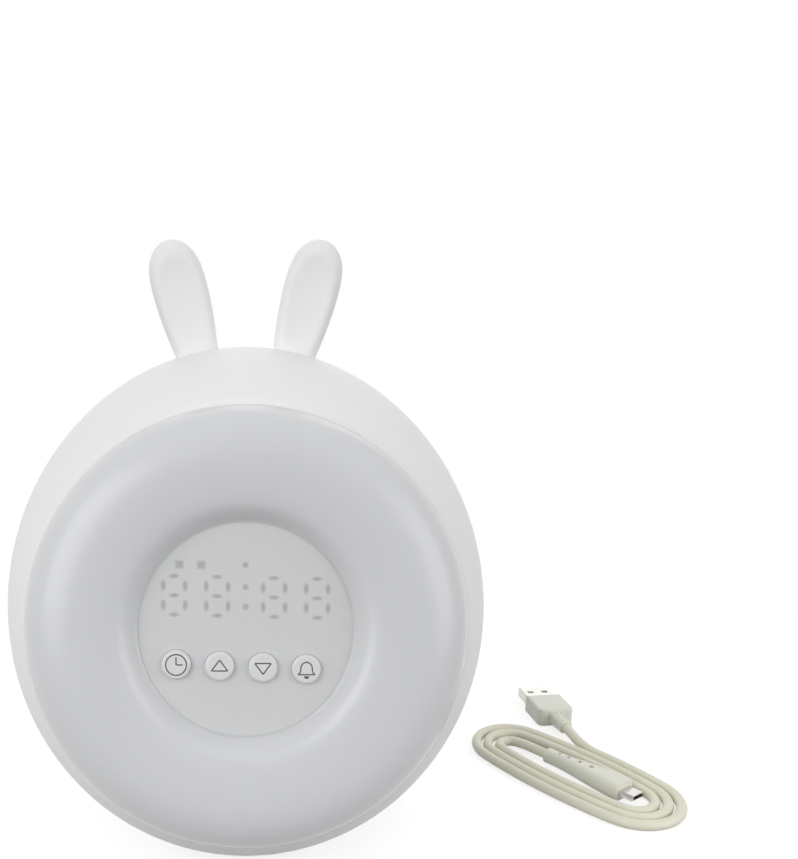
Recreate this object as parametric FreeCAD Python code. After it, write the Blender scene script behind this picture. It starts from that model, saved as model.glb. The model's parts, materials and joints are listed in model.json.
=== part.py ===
"""Kids' alarm clock with a night light: a round leaning body with two ears and two feet.

Millimetres, +Z up, the display faces -Y, and the origin lies on the table under the belly's pad.
The clock's own pieces are drawn upright in the frame of its face, where X is to the viewer's right,
Y runs from the seam plane into the body and Z runs up the face. They are leaned back at the end.
The charging cable lies on the table beside the clock and is drawn where it lies.
"""
import FreeCAD, Part
import functools
import math
import os

Vector = FreeCAD.Vector

# Stance
LEAN = 14.0
TABLE_LIFT = 0.8

# Body shell: an egg whose sections, parallel to the face, are ellipses
SEAM_R = 65.5
BODY_HALF_WIDTH = 76.7
BODY_DEPTH_SEMI = 60.5
BODY_EXTRA_HEIGHT = 5.7
BACK_LIP_R = 36.0
BACK_LIP_ROUND = 7.0
HUB_RISE = 15.1
WALL = 2.2
LEDGE_THICK = 2.4
LEDGE_R = 59.5

# Grille of radial bars round the hub
SLOT_COUNT = 45
BAR_WIDTH = 1.65
BAR_DEPTH = 3.2
GRILLE_R = 34.0
DISH_START_R = 32.6
DISH_DEPTH = 7.6
RING_WIDTH = 2.6
RING_HEIGHT = 3.0
SLOT_STEP = 1.6
SLOT_RAMP = 3.8

# Hub with the battery door and the charging port
HUB_R = 18.6
HUB_GAP = 0.3
HUB_DROP = 5.3
HUB_EDGE_ROUND = 1.2
HUB_FLANGE_R = 23.5
HUB_FLANGE_THICK = 2.0
DOOR_R = 11.8
DOOR_RISE = 2.7
DOOR_THICK = 1.5
DOOR_GAP = 0.2
TAB_WIDTH = 7.6
TAB_REACH = 13.6
LOBE_R = 3.4
LOBE_OFFSET = 13.3
SCREW_HEAD_R = 2.0
SCREW_HEAD_HEIGHT = 1.1
SCREW_R = 1.0
SCREW_LENGTH = 6.0
SCREW_SINK = 0.3
SCREW_PLAY = 0.06
CELL_R = 10.0
CELL_HEIGHT = 3.2
CELL_PLAY = 0.3
CONTACT_THICK = 0.3
CONTACT_RISE = 0.9
PORT_WIDTH = 7.0
PORT_TOP_WIDTH = 5.6
PORT_HEIGHT = 2.2
PORT_DROP = 13.0
PORT_DEPTH = 5.0
PORT_WALL = 0.3
PORT_FACE = 1.3
PORT_BOARD_WIDTH = 11.0
PORT_BOARD_LENGTH = 13.0
BOARD_THICK = 1.2

# Diffuser and the front stack behind it
DIFFUSER_WALL = 2.0
CREST_R = 49.5
CREST_RISE = 15.0
LIP_R = 36.8
LIP_RISE = 13.6
RECESS_R = 31.65
RECESS_DROP = 8.5
SKIRT_THICK = 1.6
FIT = 0.2
WINDOW_GAP = 0.15
WINDOW_THICK = 1.5
WINDOW_SEAT = 2.1
SEAT_THICK = 1.6
REFLECTOR_DEPTH = 5.5
CONTROL_BOARD_R = 33.0
BOSS_R = 3.0
BOSS_RING_R = 29.4
TRAY_THICK = 1.8
TRAY_RIM_R = 62.3
BOARD_LIFT = 2.3
CHIP_SIZE = 9.0
CHIP_HEIGHT = 1.6
CAN_R = 2.0
CAN_HEIGHT = 8.3
PLUG_WIDTH = 3.6
PLUG_LENGTH = 7.0
PLUG_HEIGHT = 5.0
LIGHT_BOARD_INNER_R = 40.0
LIGHT_BOARD_OUTER_R = 56.0
LAMP_COUNT = 16
LAMP_SIZE = 3.5
LAMP_HEIGHT = 1.2

# Display
DIGIT_HEIGHT = 13.4
DIGIT_WIDTH = 7.7
DIGIT_RISE = 9.0
DIGIT_CENTRES = (-20.6, -8.2, 8.2, 20.6)
SEGMENT_WIDTH = 1.5
SEGMENT_GAP = 0.35
COLON_SPREAD = 5.8
COLON_SIZE = 1.8
FLAG_RISE = 18.9
FLAG_SIZE = 2.8
FLAG_CENTRES = (-19.0, -12.8)
REFLECTOR_MARGIN = 2.2

# Front buttons
BUTTON_R = 4.25
BUTTON_PITCH = 12.5
BUTTON_ROW_OFFSET = -1.25
BUTTON_DROP = 10.7
BUTTON_ROW_TURN = -2.0
BUTTON_PROUD = 1.4
BUTTON_GAP = 0.2
BUTTON_FLANGE = 0.7
BUTTON_FLANGE_THICK = 0.8
BUTTON_TRAVEL = 0.5
STEM_R = 1.5
STEM_PLAY = 0.2
SWITCH_SIZE = 6.0
SWITCH_HEIGHT = 3.5

# Night-light button high on the back
LIGHT_BUTTON_R = 7.5
LIGHT_BUTTON_DEPTH = 68.5
LIGHT_BUTTON_GAP = 0.25
LIGHT_BUTTON_THICK = 2.4
LIGHT_BUTTON_TRAVEL = 0.6
LIGHT_FLANGE = 1.3
LIGHT_FLANGE_DEPTH = 3.6
LIGHT_FLANGE_THICK = 1.0
LIGHT_BOARD_DEPTH = 9.0
LIGHT_BOARD_LENGTH = 30.0
LIGHT_BOARD_WIDTH = 10.0
LIGHT_POST_R = 2.2
LIGHT_POST_OFFSET = 12.0

# Speaker behind the hub
SPEAKER_SIZE = 57.0
SPEAKER_HOLE_OFFSET = 24.0
SPEAKER_PLATE = 1.5
SPEAKER_FACE = 61.5
CONE_R = 25.0
BASKET_REAR_R = 17.0
BASKET_DEPTH = 12.0
MAGNET_R = 16.0
MAGNET_HEIGHT = 9.0
POST_R = 3.0
INNER_SCREW_R = 1.3
INNER_SCREW_HEAD_R = 2.4
INNER_SCREW_HEAD = 1.4
INNER_SCREW_LENGTH = 6.0

# Ears
EAR_BASE = (15.4, 38.6, 84.0)
EAR_SPLAY = 15.0
EAR_LENGTH = 41.0
EAR_HALF_WIDTH = 9.1
EAR_BASE_HALF_WIDTH = 6.7
EAR_FLATNESS = 0.68
EAR_DISH_DEPTH = 3.0
EAR_DISH_R = 26.0
EAR_DISH_BEND = 150.0
SPIGOT_R = 3.4
SPIGOT_LENGTH = 5.0
SPIGOT_PLAY = 0.1
JOINT_GAP = 0.05

# Feet
FOOT_BASE = (37.0, 70.5, -30.0)
FOOT_SPLAY = 20.0
FOOT_RAKE = 5.0
FOOT_BASE_R = 12.4
FOOT_TIP_R = 9.6
PAD_R = 4.2
PAD_THICK = 1.4
PAD_SINK = 0.8
BELLY_PAD_R = 7.0

# Charging cable
CORD_D = 3.8
CORD_GAP = 0.6
HANK_TURNS = 2.5
HANK_CENTRE = (122.0, 43.0)
HANK_ANGLE = -55.0
HANK_HALF_LENGTH = 44.0
HANK_HALF_WIDTH = 20.0
HANK_SIDE_BEND = 8.0
A_SHELL_WIDTH = 12.0
A_SHELL_HEIGHT = 4.5
A_SHELL_LENGTH = 12.0
A_SHELL_WALL = 0.3
A_GRIP_WIDTH = 15.0
A_GRIP_HEIGHT = 7.6
A_GRIP_LENGTH = 15.2
A_RELIEF_LENGTH = 9.4
A_RELIEF_WIDTH = 5.4
MICRO_GRIP_LENGTH = 34.0
MICRO_GRIP_WIDTH = 9.4
MICRO_GRIP_HEIGHT = 6.6
MICRO_NECK_WIDTH = 5.6
MICRO_SHELL_WIDTH = 6.9
MICRO_SHELL_HEIGHT = 1.9
MICRO_SHELL_LENGTH = 5.6

# Places that follow from the sizes above
SEAM_ANGLE = math.asin(SEAM_R / BODY_HALF_WIDTH)
LIP_ANGLE = math.pi - math.asin(BACK_LIP_R / BODY_HALF_WIDTH)
BODY_DEPTH = BODY_DEPTH_SEMI * (math.cos(SEAM_ANGLE) - math.cos(LIP_ANGLE))
HUB_TOP = BODY_DEPTH - HUB_DROP
HUB_SEAT = BODY_DEPTH - DISH_DEPTH - SLOT_STEP - RING_HEIGHT
HUB_BOTTOM = HUB_SEAT - HUB_FLANGE_THICK
DISH_END_R = HUB_R + HUB_GAP
DISH_RADIUS = ((DISH_START_R - DISH_END_R) ** 2 + DISH_DEPTH ** 2) / (2 * DISH_DEPTH)
DOOR_SEAT = HUB_TOP - DOOR_THICK
DOOR_CENTRE = HUB_RISE + DOOR_RISE
CELL_TOP = DOOR_SEAT - CELL_PLAY
CELL_BOTTOM = CELL_TOP - CELL_HEIGHT
WELL_FLOOR = CELL_BOTTOM - CONTACT_RISE
PORT_RISE = HUB_RISE - PORT_DROP
WINDOW_BACK = WINDOW_THICK - RECESS_DROP
CONTROL_FRONT = WINDOW_BACK + REFLECTOR_DEPTH
CONTROL_BACK = CONTROL_FRONT + BOARD_THICK
TRAY_FRONT = CONTROL_BACK + BOARD_LIFT
TRAY_BACK = TRAY_FRONT + TRAY_THICK
SPEAKER_BACK = SPEAKER_FACE - SPEAKER_PLATE
BUTTON_X = [BUTTON_ROW_OFFSET + BUTTON_PITCH * (step - 1.5) for step in range(4)]
BUTTON_NAMES = ("clock_button", "up_button", "down_button", "alarm_button")


def solid_of(shape):
    """The one solid of a shape, or the shape itself when it holds several."""
    return shape.Solids[0] if len(shape.Solids) == 1 else shape


def cylinder(radius, start, end):
    """A cylinder between two points."""
    axis = end - start
    return Part.makeCylinder(radius, axis.Length, start, axis)


def disc(radius, front, back, x=0.0, rise=0.0):
    """A disc parallel to the face, between two depths."""
    return cylinder(radius, Vector(x, front, rise), Vector(x, back, rise))


def block(x_low, x_high, front, back, low, high):
    """A rectangular block in the frame of the face."""
    corner = Vector(x_low, front, low)
    return Part.makeBox(x_high - x_low, back - front, high - low, corner)


def spline(points, start=None, end=None):
    """An edge that runs smoothly through points, with tangents at its ends where they are given."""
    curve = Part.BSplineCurve()
    if start and end:
        curve.interpolate(Points=points, InitialTangent=start, FinalTangent=end)
    else:
        curve.interpolate(Points=points)
    return curve


def turned(edges, rise=0.0):
    """A solid of revolution about the depth axis, from edges drawn as (radius, depth)."""
    face = Part.Face(Part.Wire(Part.__sortEdges__(edges)))
    body = face.revolve(Vector(0, 0, 0), Vector(0, 1, 0), 360)
    body = Part.Solid(body) if body.ShapeType != "Solid" else body
    body.translate(Vector(0, 0, rise))
    return body


def at(radius, depth):
    """A point of a turned profile."""
    return Vector(radius, depth, 0)


def line(start, end):
    return Part.LineSegment(start, end).toShape()


def arc(start, middle, end):
    return Part.Arc(start, middle, end).toShape()


def polyline(points):
    """Straight edges from each point to the next."""
    return [line(first, second) for first, second in zip(points, points[1:])]


def turned_polygon(points, rise=0.0):
    """A turned solid whose profile is a closed polygon of (radius, depth) pairs."""
    corners = [at(*pair) for pair in points]
    return turned(polyline(corners + corners[:1]), rise)


def body_station(angle, inset):
    """Depth, half width, half height and rise of the body's section at a polar angle.

    The inset moves the surface inwards by that much, square to itself.
    """
    across = BODY_DEPTH_SEMI * math.sin(angle)
    along = -BODY_HALF_WIDTH * math.cos(angle)
    slope = math.hypot(across, along)
    depth = BODY_DEPTH_SEMI * (math.cos(SEAM_ANGLE) - math.cos(angle)) - inset * along / slope
    half_width = BODY_HALF_WIDTH * math.sin(angle) - inset * across / slope
    share = (angle - SEAM_ANGLE) / (LIP_ANGLE - SEAM_ANGLE)
    swell = BODY_EXTRA_HEIGHT * math.sin(math.pi * min(max(share, 0.0), 1.0))
    return depth, half_width, half_width + swell, HUB_RISE * depth / BODY_DEPTH


def body_form(first, last, inset, stations=9):
    """A solid loft of the body between two polar angles."""
    sections = []
    for step in range(stations):
        angle = first + (last - first) * step / (stations - 1)
        depth, half_width, half_height, rise = body_station(angle, inset)
        half_height = max(half_height, half_width * 1.0005)
        top = Vector(0, depth, rise + half_height)
        side = Vector(half_width, depth, rise)
        ellipse = Part.Ellipse(top, side, Vector(0, depth, rise))
        sections.append(Part.Wire([ellipse.toShape()]))
    return solid_of(Part.makeLoft(sections, True, False, False))


def body_outer(inset=0.0):
    """The body's outer form, closed by flat faces at the seam and at the back lip."""
    return body_form(SEAM_ANGLE, LIP_ANGLE, inset)


def leaned_height(angle, turn):
    """Height and depth of a point of the body's surface once it leans, before it is lifted."""
    depth, half_width, half_height, rise = body_station(angle, 0.0)
    up = rise + half_height * math.sin(turn)
    lean = math.radians(LEAN)
    return up * math.cos(lean) - depth * math.sin(lean), up * math.sin(lean) + depth * math.cos(lean)


def belly_contact():
    """The lowest point of the leaned body: its height and its depth."""
    steps = 2000
    span = LIP_ANGLE - SEAM_ANGLE
    return min(leaned_height(SEAM_ANGLE + span * step / steps, -math.pi / 2) for step in range(steps))


BELLY_HEIGHT, BELLY_DEPTH = belly_contact()


def placed(shape):
    """A piece of the clock, leaned back and set with its belly over the origin."""
    moved = shape.copy()
    moved.rotate(Vector(0, 0, 0), Vector(1, 0, 0), -LEAN)
    moved.translate(Vector(0, -BELLY_DEPTH, TABLE_LIFT - BELLY_HEIGHT))
    return moved


def unplaced(shape):
    """A piece drawn on the table, moved back to the frame of the face."""
    moved = shape.copy()
    moved.translate(Vector(0, BELLY_DEPTH, BELLY_HEIGHT - TABLE_LIFT))
    moved.rotate(Vector(0, 0, 0), Vector(1, 0, 0), LEAN)
    return moved


def dish_depth(radius, inset=0.0):
    """Depth of the dished grille's surface at a radius, or of a surface that far below it."""
    reach = DISH_START_R - radius
    return BODY_DEPTH - DISH_RADIUS + math.sqrt((DISH_RADIUS - inset) ** 2 - reach ** 2)


def dish_arc(start, end, inset=0.0):
    """An arc of the dish between two radii."""
    middle = (start + end) / 2
    points = [at(radius, dish_depth(radius, inset)) for radius in (start, middle, end)]
    return arc(*points)


def slot_cutter(turn):
    """The space between two neighbouring bars, which widens outwards and ramps up at its end."""
    half_pitch = math.radians(180.0 / SLOT_COUNT)
    start = DISH_END_R - 1.0
    floor = BODY_DEPTH - DISH_DEPTH - SLOT_STEP
    under = BODY_DEPTH - BAR_DEPTH
    above = BODY_DEPTH + 1.0
    end = DISH_START_R + 0.8
    profile = [(start, floor), (end - SLOT_RAMP - 0.6, floor), (end - SLOT_RAMP, under), (end, above), (start, above)]
    sides = []
    for sign in (-1, 1):
        corners = []
        for radius, depth in profile:
            half_width = radius * math.sin(half_pitch) - BAR_WIDTH / 2 * math.cos(half_pitch)
            corners.append(Vector(sign * half_width, depth, radius))
        sides.append(corners)
    faces = [Part.Face(Part.makePolygon(corners + corners[:1])) for corners in sides]
    left, right = sides
    for index in range(len(profile)):
        after = (index + 1) % len(profile)
        ring = [left[index], left[after], right[after], right[index], left[index]]
        faces.append(Part.Face(Part.makePolygon(ring)))
    cutter = Part.Solid(Part.Shell(faces))
    cutter.rotate(Vector(0, 0, 0), Vector(0, 1, 0), turn)
    cutter.translate(Vector(0, 0, HUB_RISE))
    return cutter


def grille_ring():
    """The dished ring of bars, its inner ring and its outer border."""
    inner = DISH_END_R + RING_WIDTH
    border = BODY_DEPTH - BAR_DEPTH
    edges = [line(at(GRILLE_R, BODY_DEPTH), at(DISH_START_R, BODY_DEPTH))]
    edges.append(dish_arc(DISH_START_R, DISH_END_R))
    corners = [at(DISH_END_R, dish_depth(DISH_END_R)), at(DISH_END_R, HUB_SEAT)]
    corners += [at(inner, HUB_SEAT), at(inner, dish_depth(inner, BAR_DEPTH))]
    edges += polyline(corners)
    edges.append(dish_arc(inner, DISH_START_R, BAR_DEPTH))
    edges += polyline([at(DISH_START_R, border), at(GRILLE_R, border), at(GRILLE_R, BODY_DEPTH)])
    ring = turned(edges, HUB_RISE)
    pitch = 360.0 / SLOT_COUNT
    cutters = [slot_cutter(180.0 + pitch * step) for step in range(SLOT_COUNT)]
    return solid_of(ring.cut(Part.makeCompound(cutters)))


def speaker_corners():
    """The four fixing places of the speaker, round the hub's axis."""
    reach = SPEAKER_HOLE_OFFSET
    return [(sx * reach, HUB_RISE + sz * reach) for sx in (-1, 1) for sz in (-1, 1)]


def light_button_place():
    """The night-light button's centre on the shell and the direction that it faces."""
    turn = math.acos(math.cos(SEAM_ANGLE) - LIGHT_BUTTON_DEPTH / BODY_DEPTH_SEMI)
    points = []
    for angle in (turn - 0.01, turn, turn + 0.01):
        depth, half_width, half_height, rise = body_station(angle, 0.0)
        points.append(Vector(0, depth, rise + half_height))
    along = (points[2] - points[0]).normalize()
    return points[1], Vector(0, -along.z, along.y)


def toward(shape, centre, facing):
    """A piece drawn at the origin with +Z outwards, moved to a place that faces outwards."""
    moved = shape.copy()
    turn = math.degrees(math.atan2(facing.y, facing.z))
    moved.rotate(Vector(0, 0, 0), Vector(1, 0, 0), -turn)
    moved.translate(centre)
    return moved


def ear_outline():
    """Half outline of an ear, as an edge from below its root to its tip."""
    root = EAR_BASE_HALF_WIDTH
    wide = EAR_HALF_WIDTH
    points = [
        Vector(root * 0.94, 0, -SPIGOT_LENGTH * 2),
        Vector(root, 0, 0),
        Vector((root + wide) / 2 + 0.3, 0, EAR_LENGTH * 0.3),
        Vector(wide, 0, EAR_LENGTH * 0.6),
        Vector(wide * 0.93, 0, EAR_LENGTH * 0.78),
        Vector(wide * 0.66, 0, EAR_LENGTH - wide * 0.24),
        Vector(0, 0, EAR_LENGTH),
    ]
    return spline(points, Vector(0.02, 0, 1), Vector(-1, 0, 0)).toShape()


def ear_paddle():
    """A closed paddle: the half outline turned about the ear's axis, then flattened."""
    outline = ear_outline()
    start = outline.Vertexes[0].Point
    end = outline.Vertexes[-1].Point
    foot = Vector(0, 0, start.z)
    edges = [outline, line(end, foot), line(foot, start)]
    form = Part.Face(Part.Wire(Part.__sortEdges__(edges))).revolve(Vector(0, 0, 0), Vector(0, 0, 1), 360)
    squeeze = FreeCAD.Matrix()
    squeeze.A22 = EAR_FLATNESS
    return solid_of(form.transformGeometry(squeeze))


def ear_dish():
    """The long barrel that hollows an ear's front, its belly sunk below the surface."""
    reach = EAR_LENGTH / 2
    narrow = EAR_DISH_R - EAR_DISH_BEND + math.sqrt(EAR_DISH_BEND ** 2 - reach ** 2)
    low = Vector(narrow, 0, -reach)
    high = Vector(narrow, 0, reach)
    edges = [arc(low, Vector(EAR_DISH_R, 0, 0), high)]
    edges += polyline([high, Vector(0, 0, reach), Vector(0, 0, -reach), low])
    face = Part.Face(Part.Wire(Part.__sortEdges__(edges)))
    barrel = solid_of(face.revolve(Vector(0, 0, 0), Vector(0, 0, 1), 360))
    floor = EAR_DISH_DEPTH - EAR_HALF_WIDTH * EAR_FLATNESS
    barrel.translate(Vector(0, floor - EAR_DISH_R, reach))
    return barrel


def ear_axis():
    """The place of the right ear's base and the direction that it points."""
    splay = math.radians(EAR_SPLAY)
    return Vector(*EAR_BASE), Vector(math.sin(splay), 0, math.cos(splay))


@functools.lru_cache
def right_ear():
    """The right ear: a flattened paddle with a dish in its front and a spigot into the shell."""
    base, axis = ear_axis()
    form = ear_paddle()
    dish = ear_dish()
    for shape in (form, dish):
        shape.rotate(Vector(0, 0, 0), Vector(0, 1, 0), EAR_SPLAY)
        shape.translate(base)
    form = form.cut(body_outer(-JOINT_GAP))
    form = form.fuse(cylinder(SPIGOT_R, base + axis * 4.0, base - axis * SPIGOT_LENGTH))
    return solid_of(form.cut(dish))


def mirrored(shape):
    """The shape's twin on the other side of the clock's middle."""
    return shape.mirror(Vector(0, 0, 0), Vector(1, 0, 0))


def foot_axis(side):
    """A foot's base, its direction and its length down to the table."""
    splay = math.radians(FOOT_SPLAY)
    rake = math.radians(FOOT_RAKE)
    axis = Vector(side * math.sin(splay), -math.cos(splay) * math.sin(rake), -math.cos(splay) * math.cos(rake))
    base = Vector(side * FOOT_BASE[0], FOOT_BASE[1], FOOT_BASE[2])
    lean = math.radians(LEAN)
    height = base.z * math.cos(lean) - base.y * math.sin(lean) + TABLE_LIFT - BELLY_HEIGHT
    fall = axis.y * math.sin(lean) - axis.z * math.cos(lean)
    return base, axis, (height - FOOT_TIP_R) / fall


def foot_tip(side):
    """The centre of a foot's rounded end, on the table's frame."""
    base, axis, length = foot_axis(side)
    return placed(Part.Vertex(base + axis * length)).Point


def foot(side):
    """One foot: a blunt cone with a rounded end, seated on the shell, with a pad's recess below."""
    base, axis, length = foot_axis(side)
    taper = math.atan((FOOT_BASE_R - FOOT_TIP_R) / length)
    root = -12.0
    touch = at(FOOT_TIP_R * math.cos(taper), length + FOOT_TIP_R * math.sin(taper))
    start = at(FOOT_BASE_R - root * math.tan(taper), root)
    bulge = (taper + math.pi / 2) / 2
    middle = at(FOOT_TIP_R * math.cos(bulge), length + FOOT_TIP_R * math.sin(bulge))
    end = at(0, length + FOOT_TIP_R)
    edges = [line(start, touch), arc(touch, middle, end), line(end, at(0, root)), line(at(0, root), start)]
    form = turned(edges)
    form.Placement = FreeCAD.Placement(base, FreeCAD.Rotation(Vector(0, 1, 0), axis))
    form = form.cut(body_outer(-JOINT_GAP))
    form = form.fuse(cylinder(SPIGOT_R, base + axis * 6.0, base - axis * SPIGOT_LENGTH))
    tip = foot_tip(side)
    under = Part.makeBox(60, 60, 60, Vector(tip.x - 30, tip.y - 30, PAD_THICK - PAD_SINK - 60))
    recess = cylinder(PAD_R + JOINT_GAP, Vector(tip.x, tip.y, -1), Vector(tip.x, tip.y, PAD_THICK))
    return solid_of(form.cut(unplaced(under)).cut(unplaced(recess)))


def foot_pads():
    """The two silicone pads under the feet, drawn on the table."""
    pads = []
    for side in (-1, 1):
        tip = foot_tip(side)
        pads.append(cylinder(PAD_R, Vector(tip.x, tip.y, 0), Vector(tip.x, tip.y, PAD_THICK)))
    return Part.makeCompound(pads)


def belly_pad():
    """The silicone pad under the belly: flat below and fitted to the shell above."""
    pad = cylinder(BELLY_PAD_R, Vector(0, 0, 0), Vector(0, 0, TABLE_LIFT + 1.5))
    return solid_of(pad.cut(placed(body_outer(-JOINT_GAP))))


def light_posts():
    """Two posts from the shell's inside to the night-light button's board."""
    centre, facing = light_button_place()
    posts = []
    for sign in (-1, 1):
        foot_end = Vector(sign * LIGHT_POST_OFFSET, 0, -LIGHT_BOARD_DEPTH)
        post = cylinder(LIGHT_POST_R, foot_end, foot_end + Vector(0, 0, 14))
        hole = cylinder(INNER_SCREW_R + JOINT_GAP, foot_end, foot_end + Vector(0, 0, INNER_SCREW_LENGTH))
        posts.append(toward(post.cut(hole), centre, facing))
    return posts


def rear_shell():
    """The matte white shell: one hollow egg with the grille, a rim ledge, posts and sockets."""
    outer = body_outer()
    rim = [edge for edge in outer.Edges if abs(edge.CenterOfMass.y - BODY_DEPTH) < 0.01]
    rounded = outer.makeFillet(BACK_LIP_ROUND, rim[:1])
    hollow = body_form(SEAM_ANGLE - 0.14, LIP_ANGLE, WALL)
    shell = rounded.cut(hollow).cut(disc(GRILLE_R, BODY_DEPTH - 6, BODY_DEPTH + 2, rise=HUB_RISE))
    ledge_back = TRAY_BACK + LEDGE_THICK
    wide = BODY_HALF_WIDTH + 5
    ledge = turned_polygon([(LEDGE_R, TRAY_BACK), (wide, TRAY_BACK), (wide, ledge_back), (LEDGE_R, ledge_back)])
    shell = shell.fuse(ledge.common(outer))
    for x, rise in speaker_corners():
        post = disc(POST_R, SPEAKER_FACE, BODY_DEPTH - BAR_DEPTH + 0.5, x, rise)
        hole = disc(INNER_SCREW_R + JOINT_GAP, SPEAKER_FACE, SPEAKER_FACE + INNER_SCREW_LENGTH, x, rise)
        shell = shell.fuse(post.cut(hole))
    for post in light_posts():
        shell = shell.fuse(post.common(outer))
    shell = shell.fuse(grille_ring())
    centre, facing = light_button_place()
    radius = LIGHT_BUTTON_R + LIGHT_BUTTON_GAP
    shell = shell.cut(cylinder(radius, centre - facing * 6, centre + facing * 6))
    for base, axis in (ear_axis(), foot_axis(1)[:2]):
        socket = cylinder(SPIGOT_R + SPIGOT_PLAY, base + axis * 6, base - axis * 9)
        shell = shell.cut(socket).cut(mirrored(socket))
    return solid_of(shell)


def door_plan(grow, front, back):
    """The battery door's outline as a solid: a disc with a tab above and a screw's lobe aside."""
    plate = disc(DOOR_R + grow, front, back, rise=DOOR_CENTRE)
    half_tab = TAB_WIDTH / 2 + grow
    tab = block(-half_tab, half_tab, front, back, DOOR_CENTRE, DOOR_CENTRE + TAB_REACH + grow)
    lobe = disc(LOBE_R + grow, front, back, -LOBE_OFFSET, DOOR_CENTRE)
    reach = LOBE_R + grow
    bridge = block(-LOBE_OFFSET, 0, front, back, DOOR_CENTRE - reach, DOOR_CENTRE + reach)
    return plate.fuse([tab, lobe, bridge]).removeSplitter()


def port_prism(grow, front, back):
    """The charging port's outline, narrow side up, as a solid."""
    half_low = PORT_WIDTH / 2 + grow
    half_high = PORT_TOP_WIDTH / 2 + grow
    low = PORT_RISE - PORT_HEIGHT / 2 - grow
    high = PORT_RISE + PORT_HEIGHT / 2 + grow
    shoulder = low + (high - low) * 0.55
    plan = [(-half_low, low), (half_low, low), (half_low, shoulder), (half_high, high), (-half_high, high)]
    plan.append((-half_low, shoulder))
    corners = [Vector(x, front, z) for x, z in plan]
    return Part.Face(Part.makePolygon(corners + corners[:1])).extrude(Vector(0, back - front, 0))


def contact_pocket(grow):
    """The room beside the cell for the contact that touches its wall."""
    reach = CELL_R + CELL_PLAY + 1.2
    return block(CELL_R - 1, reach, WELL_FLOOR, DOOR_SEAT, DOOR_CENTRE - 2.2 - grow, DOOR_CENTRE + 2.2 + grow)


def rear_hub():
    """The round hub in the grille, with the battery well, the door's seat and the port's mouth."""
    corners = [at(0, HUB_BOTTOM), at(HUB_FLANGE_R, HUB_BOTTOM), at(HUB_FLANGE_R, HUB_SEAT)]
    corners += [at(HUB_R, HUB_SEAT), at(HUB_R, HUB_TOP - HUB_EDGE_ROUND)]
    turn = HUB_EDGE_ROUND * math.sqrt(0.5)
    centre = at(HUB_R - HUB_EDGE_ROUND, HUB_TOP - HUB_EDGE_ROUND)
    edges = polyline(corners)
    edges.append(arc(corners[-1], centre + Vector(turn, turn, 0), centre + Vector(0, HUB_EDGE_ROUND, 0)))
    edges += polyline([centre + Vector(0, HUB_EDGE_ROUND, 0), at(0, HUB_TOP), at(0, HUB_BOTTOM)])
    hub = turned(edges, HUB_RISE)
    hub = hub.cut(door_plan(DOOR_GAP, DOOR_SEAT, HUB_TOP + 1))
    hub = hub.cut(disc(CELL_R + CELL_PLAY, WELL_FLOOR, DOOR_SEAT + 0.1, rise=DOOR_CENTRE))
    hub = hub.cut(contact_pocket(0.0))
    screw_end = DOOR_SEAT - SCREW_LENGTH
    hub = hub.cut(disc(SCREW_R + SCREW_PLAY, screw_end, DOOR_SEAT + 0.1, -LOBE_OFFSET, DOOR_CENTRE))
    hub = hub.cut(port_prism(PORT_WALL + FIT / 2, HUB_BOTTOM - 1, HUB_TOP + 1))
    half_board = PORT_BOARD_WIDTH / 2 + FIT
    low = PORT_RISE - PORT_HEIGHT / 2 - PORT_WALL - BOARD_THICK - FIT
    high = PORT_RISE + PORT_HEIGHT / 2 + PORT_WALL + FIT
    pocket = block(-half_board, half_board, HUB_BOTTOM - 1, HUB_TOP - PORT_FACE, low, high)
    return solid_of(hub.cut(pocket))


def battery_door():
    """The door over the cell, with a counterbored hole for its captive screw."""
    door = door_plan(0.0, DOOR_SEAT, HUB_TOP)
    head_seat = HUB_TOP - SCREW_SINK - SCREW_HEAD_HEIGHT
    door = door.cut(disc(SCREW_HEAD_R + FIT, head_seat, HUB_TOP + 1, -LOBE_OFFSET, DOOR_CENTRE))
    return solid_of(door.cut(disc(SCREW_R + SCREW_PLAY, DOOR_SEAT - 1, HUB_TOP, -LOBE_OFFSET, DOOR_CENTRE)))


def door_screw():
    """The captive cross-head screw of the battery door."""
    head_top = HUB_TOP - SCREW_SINK
    head_seat = head_top - SCREW_HEAD_HEIGHT
    head = disc(SCREW_HEAD_R, head_seat, head_top, -LOBE_OFFSET, DOOR_CENTRE)
    shank = disc(SCREW_R, DOOR_SEAT - SCREW_LENGTH + 0.5, head_seat, -LOBE_OFFSET, DOOR_CENTRE)
    screw = head.fuse(shank)
    for width, height in ((2.4, 0.5), (0.5, 2.4)):
        x_low = -LOBE_OFFSET - width / 2
        low = DOOR_CENTRE - height / 2
        screw = screw.cut(block(x_low, x_low + width, head_top - 0.7, head_top + 1, low, low + height))
    return solid_of(screw)


def coin_cell():
    """A coin cell of 20 mm: a can with its slightly smaller lid towards the contacts."""
    lid_r = CELL_R - 1.3
    profile = [(0, CELL_BOTTOM), (lid_r, CELL_BOTTOM), (lid_r, CELL_BOTTOM + 0.5), (CELL_R, CELL_BOTTOM + 0.7)]
    profile += [(CELL_R, CELL_TOP - 0.2), (CELL_R - 0.2, CELL_TOP), (0, CELL_TOP)]
    return turned_polygon(profile, DOOR_CENTRE)


def cell_contact_low():
    """The sprung leaf under the cell: a strip that bows up to the cell's lid."""
    top = CELL_BOTTOM
    base = WELL_FLOOR
    line_up = [(-7.5, base), (-4.0, base), (-1.2, top - CONTACT_THICK), (1.2, top - CONTACT_THICK), (4.0, base)]
    line_up.append((7.5, base))
    back = [(x, depth + CONTACT_THICK) for x, depth in reversed(line_up)]
    corners = [Vector(x, depth, DOOR_CENTRE - 2.0) for x, depth in line_up + back]
    return Part.Face(Part.makePolygon(corners + corners[:1])).extrude(Vector(0, 0, 4.0))


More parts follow.
